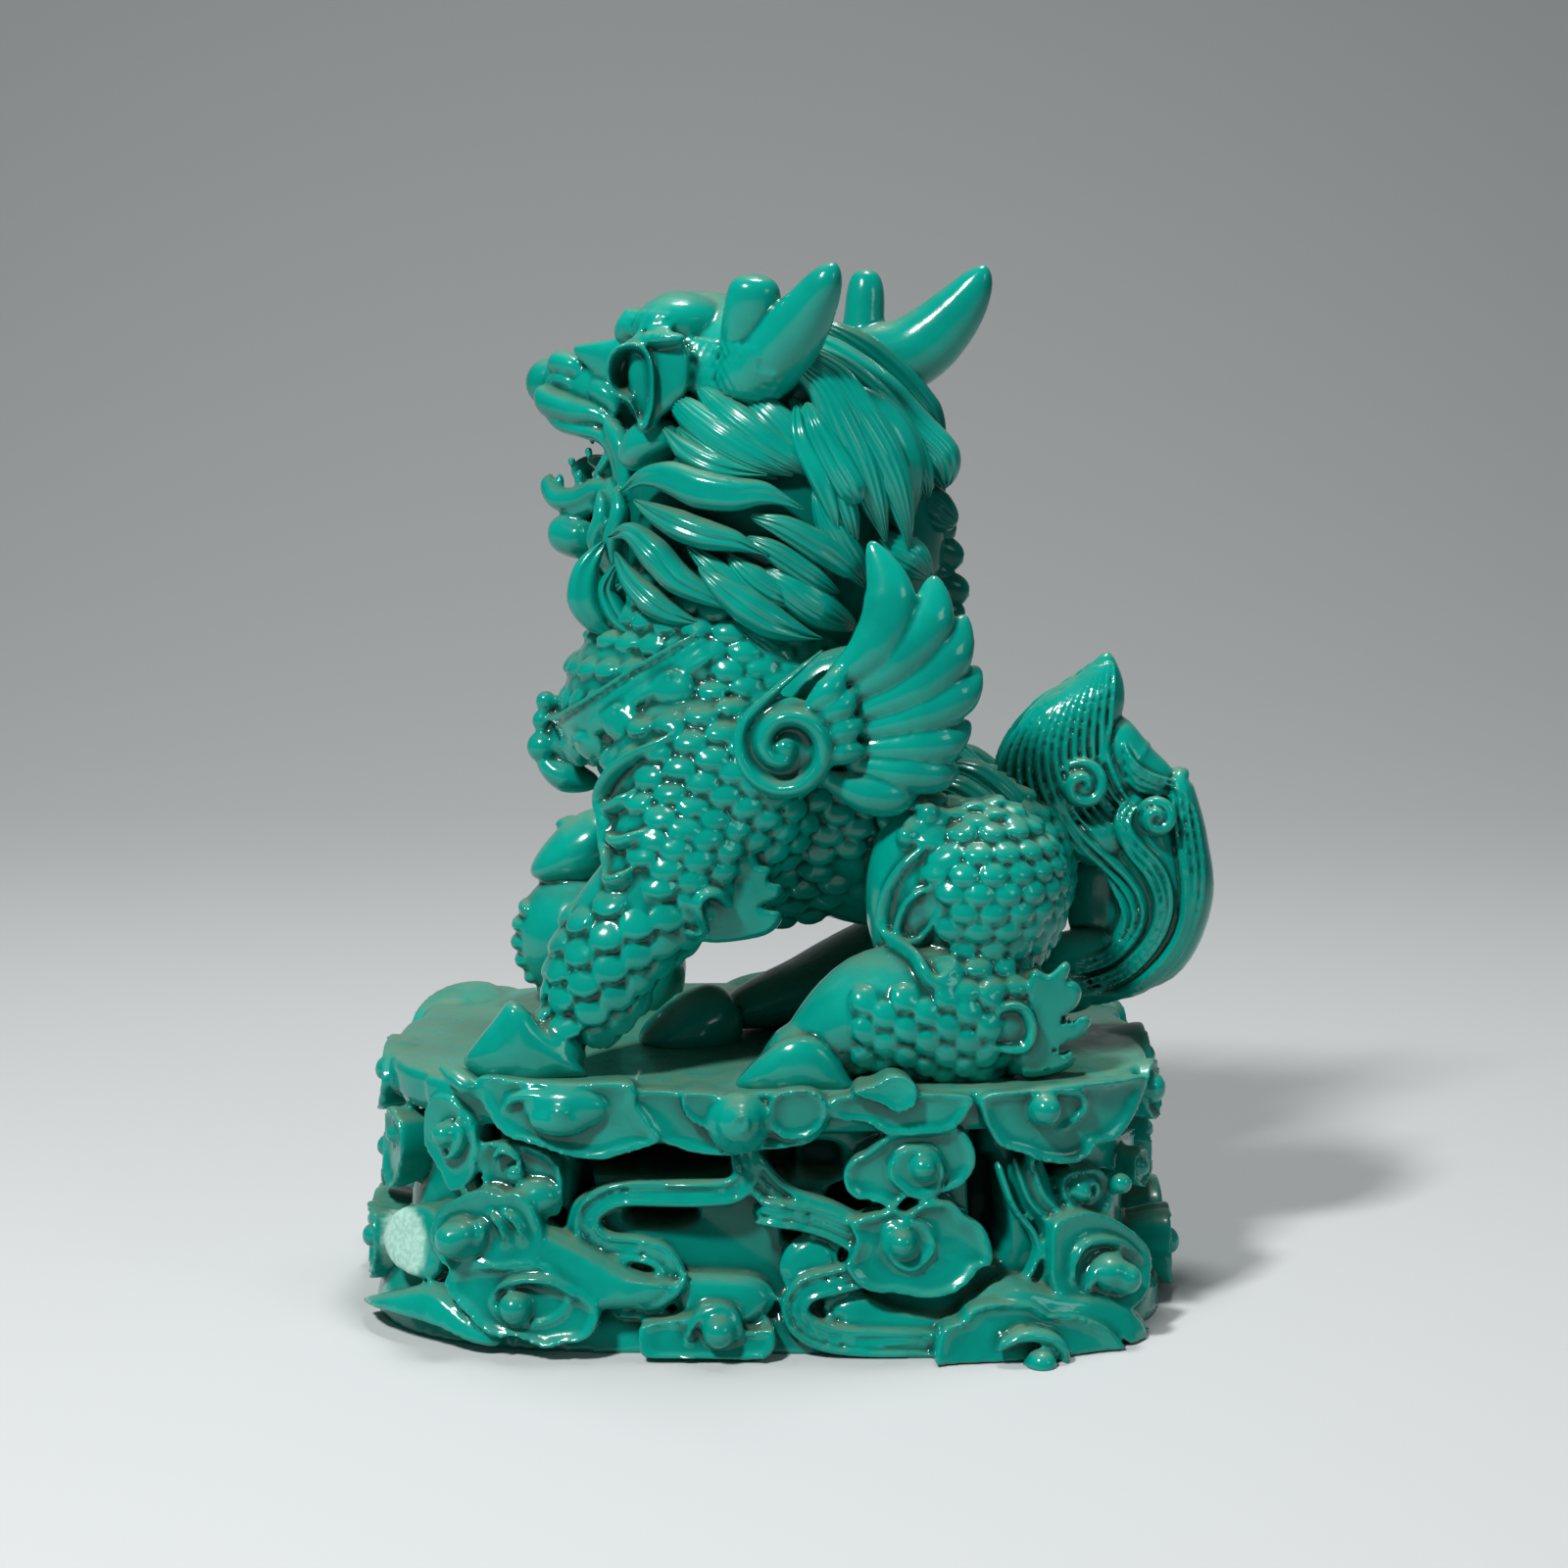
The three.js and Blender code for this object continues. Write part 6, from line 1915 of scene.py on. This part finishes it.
@dataclass
class Tail(Piece):
    """The flame-shaped tail, flat from side to side, combed in flowing lines with two curls."""

    voxel: float = 0.18
    soften: int = 1
    hollow: float = 0.12
    most: int = 120000
    sight: Sight = field(default_factory=Sight)

    name = "tail"

    masses: tuple[Stroke, ...] = (
        Stroke(((1082, 890, 1), (1066, 850, 1), (1066, 800, 1), (1090, 750, 1), (1120, 705, 1),
            (1131, 664, 1)), (3.0, 4.0, 4.6, 4.4, 2.9, 1.25), (2.8, 3.4, 3.6, 3.2, 2.4, 1.2), 4),
        Stroke(((1090, 1004, 1), (1150, 986, 1), (1182, 935, 1), (1170, 872, 1), (1150, 815, 1),
            (1142, 755, 1)), (2.8, 3.3, 3.5, 3.6, 3.2, 1.6), (2.8, 3.4, 3.8, 3.8, 3.2, 1.8), 3),
        Stroke(((1110, 1010, 1), (1182, 978, 1), (1212, 915, 1), (1208, 852, 1), (1202, 800, 1),
            (1212, 784, 1)), (1.8, 2.4, 2.3, 2.1, 1.5, 0.8), (2.4, 3.0, 3.2, 3.0, 2.4, 1.2), 4),
        Stroke(((1052, 985, 1), (1082, 1004, 1), (1124, 1008, 1)), (3.0, 2.7, 2.2), (3.0, 3.0, 2.6), 3),
        Stroke(((1090, 868, 1), (1120, 850, 1), (1158, 840, 1)), (2.6, 3.4, 3.0), (3.2, 3.6, 3.2), 3),
        Stroke(((1108, 775, 1), (1140, 790, 1), (1176, 800, 1)), (2.6, 3.0, 1.6), (3.0, 3.2, 2.0), 3),
        Stroke(((1130, 872, 3.0), (1126, 912, 3.2), (1120, 962, 2.8)), (3.0, 3.1, 3.2), (1.6, 1.6, 1.6), 5),
        Stroke(((1134, 730, 1), (1150, 778, 1), (1198, 798, 1)), (2.0, 2.9, 1.7), (2.8, 3.2, 2.2), 3),
        Stroke(((1060, 974, 1.5), (1096, 978, 1.5), (1140, 966, 1.5)), (2.4, 2.7, 2.6), (2.6, 2.8, 2.6), 3),
    )
    # The outer lines of each combed flow in the frame, and its number of strands.
    flows: tuple[tuple[Points, Points, int], ...] = (
        (((1080, 884), (1050, 862), (1026, 828), (1019, 792), (1031, 758), (1060, 726), (1092, 690),
            (1118, 662)), ((1162, 822), (1148, 806), (1138, 780), (1134, 756), (1135, 722), (1137, 694),
            (1136, 678), (1132, 666)), 13),
        (((1094, 978), (1126, 972), (1150, 948), (1146, 914), (1112, 880), (1082, 856), (1064, 826),
            (1064, 796), (1080, 778)), ((1094, 998), (1136, 988), (1172, 950), (1172, 910), (1142, 878),
            (1106, 850), (1090, 830), (1086, 806), (1096, 784)), 3),
        (((1094, 1000), (1138, 990), (1176, 952), (1180, 912), (1158, 882), (1140, 860), (1134, 838),
            (1142, 820), (1158, 810)), ((1094, 1018), (1145, 1006), (1188, 962), (1199, 910), (1184, 880),
            (1168, 862), (1156, 846), (1156, 832), (1166, 820)), 3),
        (((1092, 1030), (1150, 1016), (1206, 972), (1228, 905), (1222, 845), (1216, 792)),
         ((1094, 1018), (1150, 1006), (1194, 962), (1206, 905), (1198, 850), (1194, 800)), 4),
        (((1146, 752), (1156, 776), (1176, 790), (1200, 794)), ((1148, 800), (1160, 806), (1178, 808),
            (1196, 816)), 4),
    )
    # Each curl's middle in the frame, its radius and the angle where its coil begins.
    curls: Points = ((1102, 799, 2.05, 205.0), (1177, 833, 1.55, 190.0))

    def build(self) -> None:
        """Makes the tail."""
        clay = Clay()
        for mass in self.masses:
            mass.draw(clay, self.sight)
        under = clay.felt(0.35, 1)
        for face in Face:
            ridge = Ridge(clay, under, face, self.sight)
            for left, right, count in self.flows:
                self.flow(ridge, left, right, count)
            for px, py, radius, start in self.curls:
                self.curl(ridge, px, py, radius, start)
        self.finish(clay)

    @staticmethod
    def flow(ridge: Ridge, left: Figures, right: Figures, count: int) -> None:
        """Combed strands spread evenly between two outer lines."""
        share = np.linspace(0, 1, 8)
        first, last = curve_at(left, share)[0], curve_at(right, share)[0]
        for i in range(count):
            part = (i + 0.5) / count
            ridge.line(first * (1 - part) + last * part, 0.3, 0.8)

    @staticmethod
    def curl(ridge: Ridge, px: float, py: float, radius: float, start: float) -> None:
        """A rolled curl: a solid dome wound with one spiral coil.

        Args:
            ridge: lays forms on the tail's flat.
            px: its middle in the frame.
            py: its middle in the frame.
            radius: its half-size in millimetres.
            start: the angle in the frame where the coil leaves the tail.
        """
        middle, _ = ridge.on_skin(px, py, 0.2)
        out = np.array([0.0, -ridge.face.value, 0.0])
        ridge.clay.egg(middle, (radius, 1.9, radius), around=28, rows=20)
        coil = []
        for share in np.linspace(0, 1, 30):
            angle = math.radians(start + 560 * share)
            reach = radius * (1.12 - 0.98 * share)
            way = np.array([math.cos(angle), 0, -math.sin(angle)])
            coil.append(middle + out * (0.8 + 1.1 * share) + way * reach)
        high, wide = [0.8, 0.9, 0.8, 0.6], [0.5, 0.62, 0.55, 0.4]
        ridge.clay.drawn(coil, high, wide, side=out, around=16, rows=90, blunt=3)


@dataclass
class Studio:
    """Plain pale floor, soft light and the camera at the photograph's angle."""

    sight: Sight = field(default_factory=Sight)
    sensor: float = 36.0
    bend: float = 0.25
    facing: tuple[float, float, float] = (0, 0, 45)

    def build(self) -> None:
        """Makes floor, lights and camera."""
        self.floor()
        self.world()
        self.lamp("key", (-200, -280, 420), 62, 3.0, "#ffffff")
        self.lamp("fill", (330, -260, 240), 120, 0.16, "#f4f8ff")
        self.lamp("top", (40, 60, 460), 90, 1.15, "#ffffff")
        self.camera()

    def floor(self) -> None:
        """A wide pale sheet that curves up behind."""
        bm = bmesh.new()
        bmesh.ops.create_grid(bm, x_segments=40, y_segments=60, size=1.0)
        for vert in bm.verts:
            x, y = vert.co.x * 1.4, vert.co.y * 1.4
            rise = max(0.0, y - self.bend)
            vert.co = (x, min(y, self.bend + 0.5 * math.tanh(rise / 0.5)), 1.1 * rise**2)
        mesh = bpy.data.meshes.new("floor")
        bm.to_mesh(mesh)
        bm.free()
        mesh.shade_smooth()
        floor = bpy.data.objects.new("floor", mesh)
        bpy.context.scene.collection.objects.link(floor)
        # Matt, faintly cool paper: the photograph's cloth without its bonding dots.
        material = bpy.data.materials.new("pale_paper")
        material.use_nodes = True
        shader = material.node_tree.nodes["Principled BSDF"]
        shader.inputs["Base Color"].default_value = linear("#bcbfc0")
        shader.inputs["Roughness"].default_value = 0.85
        mesh.materials.append(material)

    @staticmethod
    def world() -> None:
        """Even pale surroundings."""
        world = bpy.data.worlds.new("studio")
        world.use_nodes = True
        ground = world.node_tree.nodes["Background"]
        ground.inputs["Color"].default_value = linear("#dfe4e6")
        ground.inputs["Strength"].default_value = 0.085
        bpy.context.scene.world = world

    def lamp(self, name: str, place: Sequence[float], size: float, power: float, colour: str) -> None:
        """A soft square lamp that faces the figure's middle, figures in millimetres."""
        light = bpy.data.lights.new(name, "AREA")
        light.shape = "SQUARE"
        light.size = size * MM
        light.energy = power
        light.color = linear(colour)[:3]
        lamp = bpy.data.objects.new(name, light)
        lamp.location = Vector(place) * MM
        lamp.rotation_euler = (Vector(self.facing) - Vector(place)).to_track_quat("-Z", "Y").to_euler()
        bpy.context.scene.collection.objects.link(lamp)

    def camera(self) -> None:
        """The camera of the photograph, which shows colours as they are."""
        bpy.context.scene.view_settings.view_transform = "Standard"
        data = bpy.data.cameras.new("camera")
        data.lens = self.sensor * self.sight.focal / (2 * self.sight.middle)
        data.sensor_width = self.sensor
        data.clip_start = 0.01
        camera = bpy.data.objects.new("camera", data)
        camera.location = Vector(self.sight.at) * MM
        camera.rotation_euler = (math.radians(90 - self.sight.pitch), 0, 0)
        bpy.context.scene.collection.objects.link(camera)
        bpy.context.scene.camera = camera


def main() -> None:
    """Builds every piece in order."""
    logging.basicConfig(level=logging.INFO, format="%(name)s %(message)s")
    resin = Resin().material()
    for kind in (Plinth, Body, Head, Mane, Wings, Tail):
        kind(resin).build()
        LOG.info("built %s", kind.name)
    Studio().build()


if __name__ == "__main__":
    main()
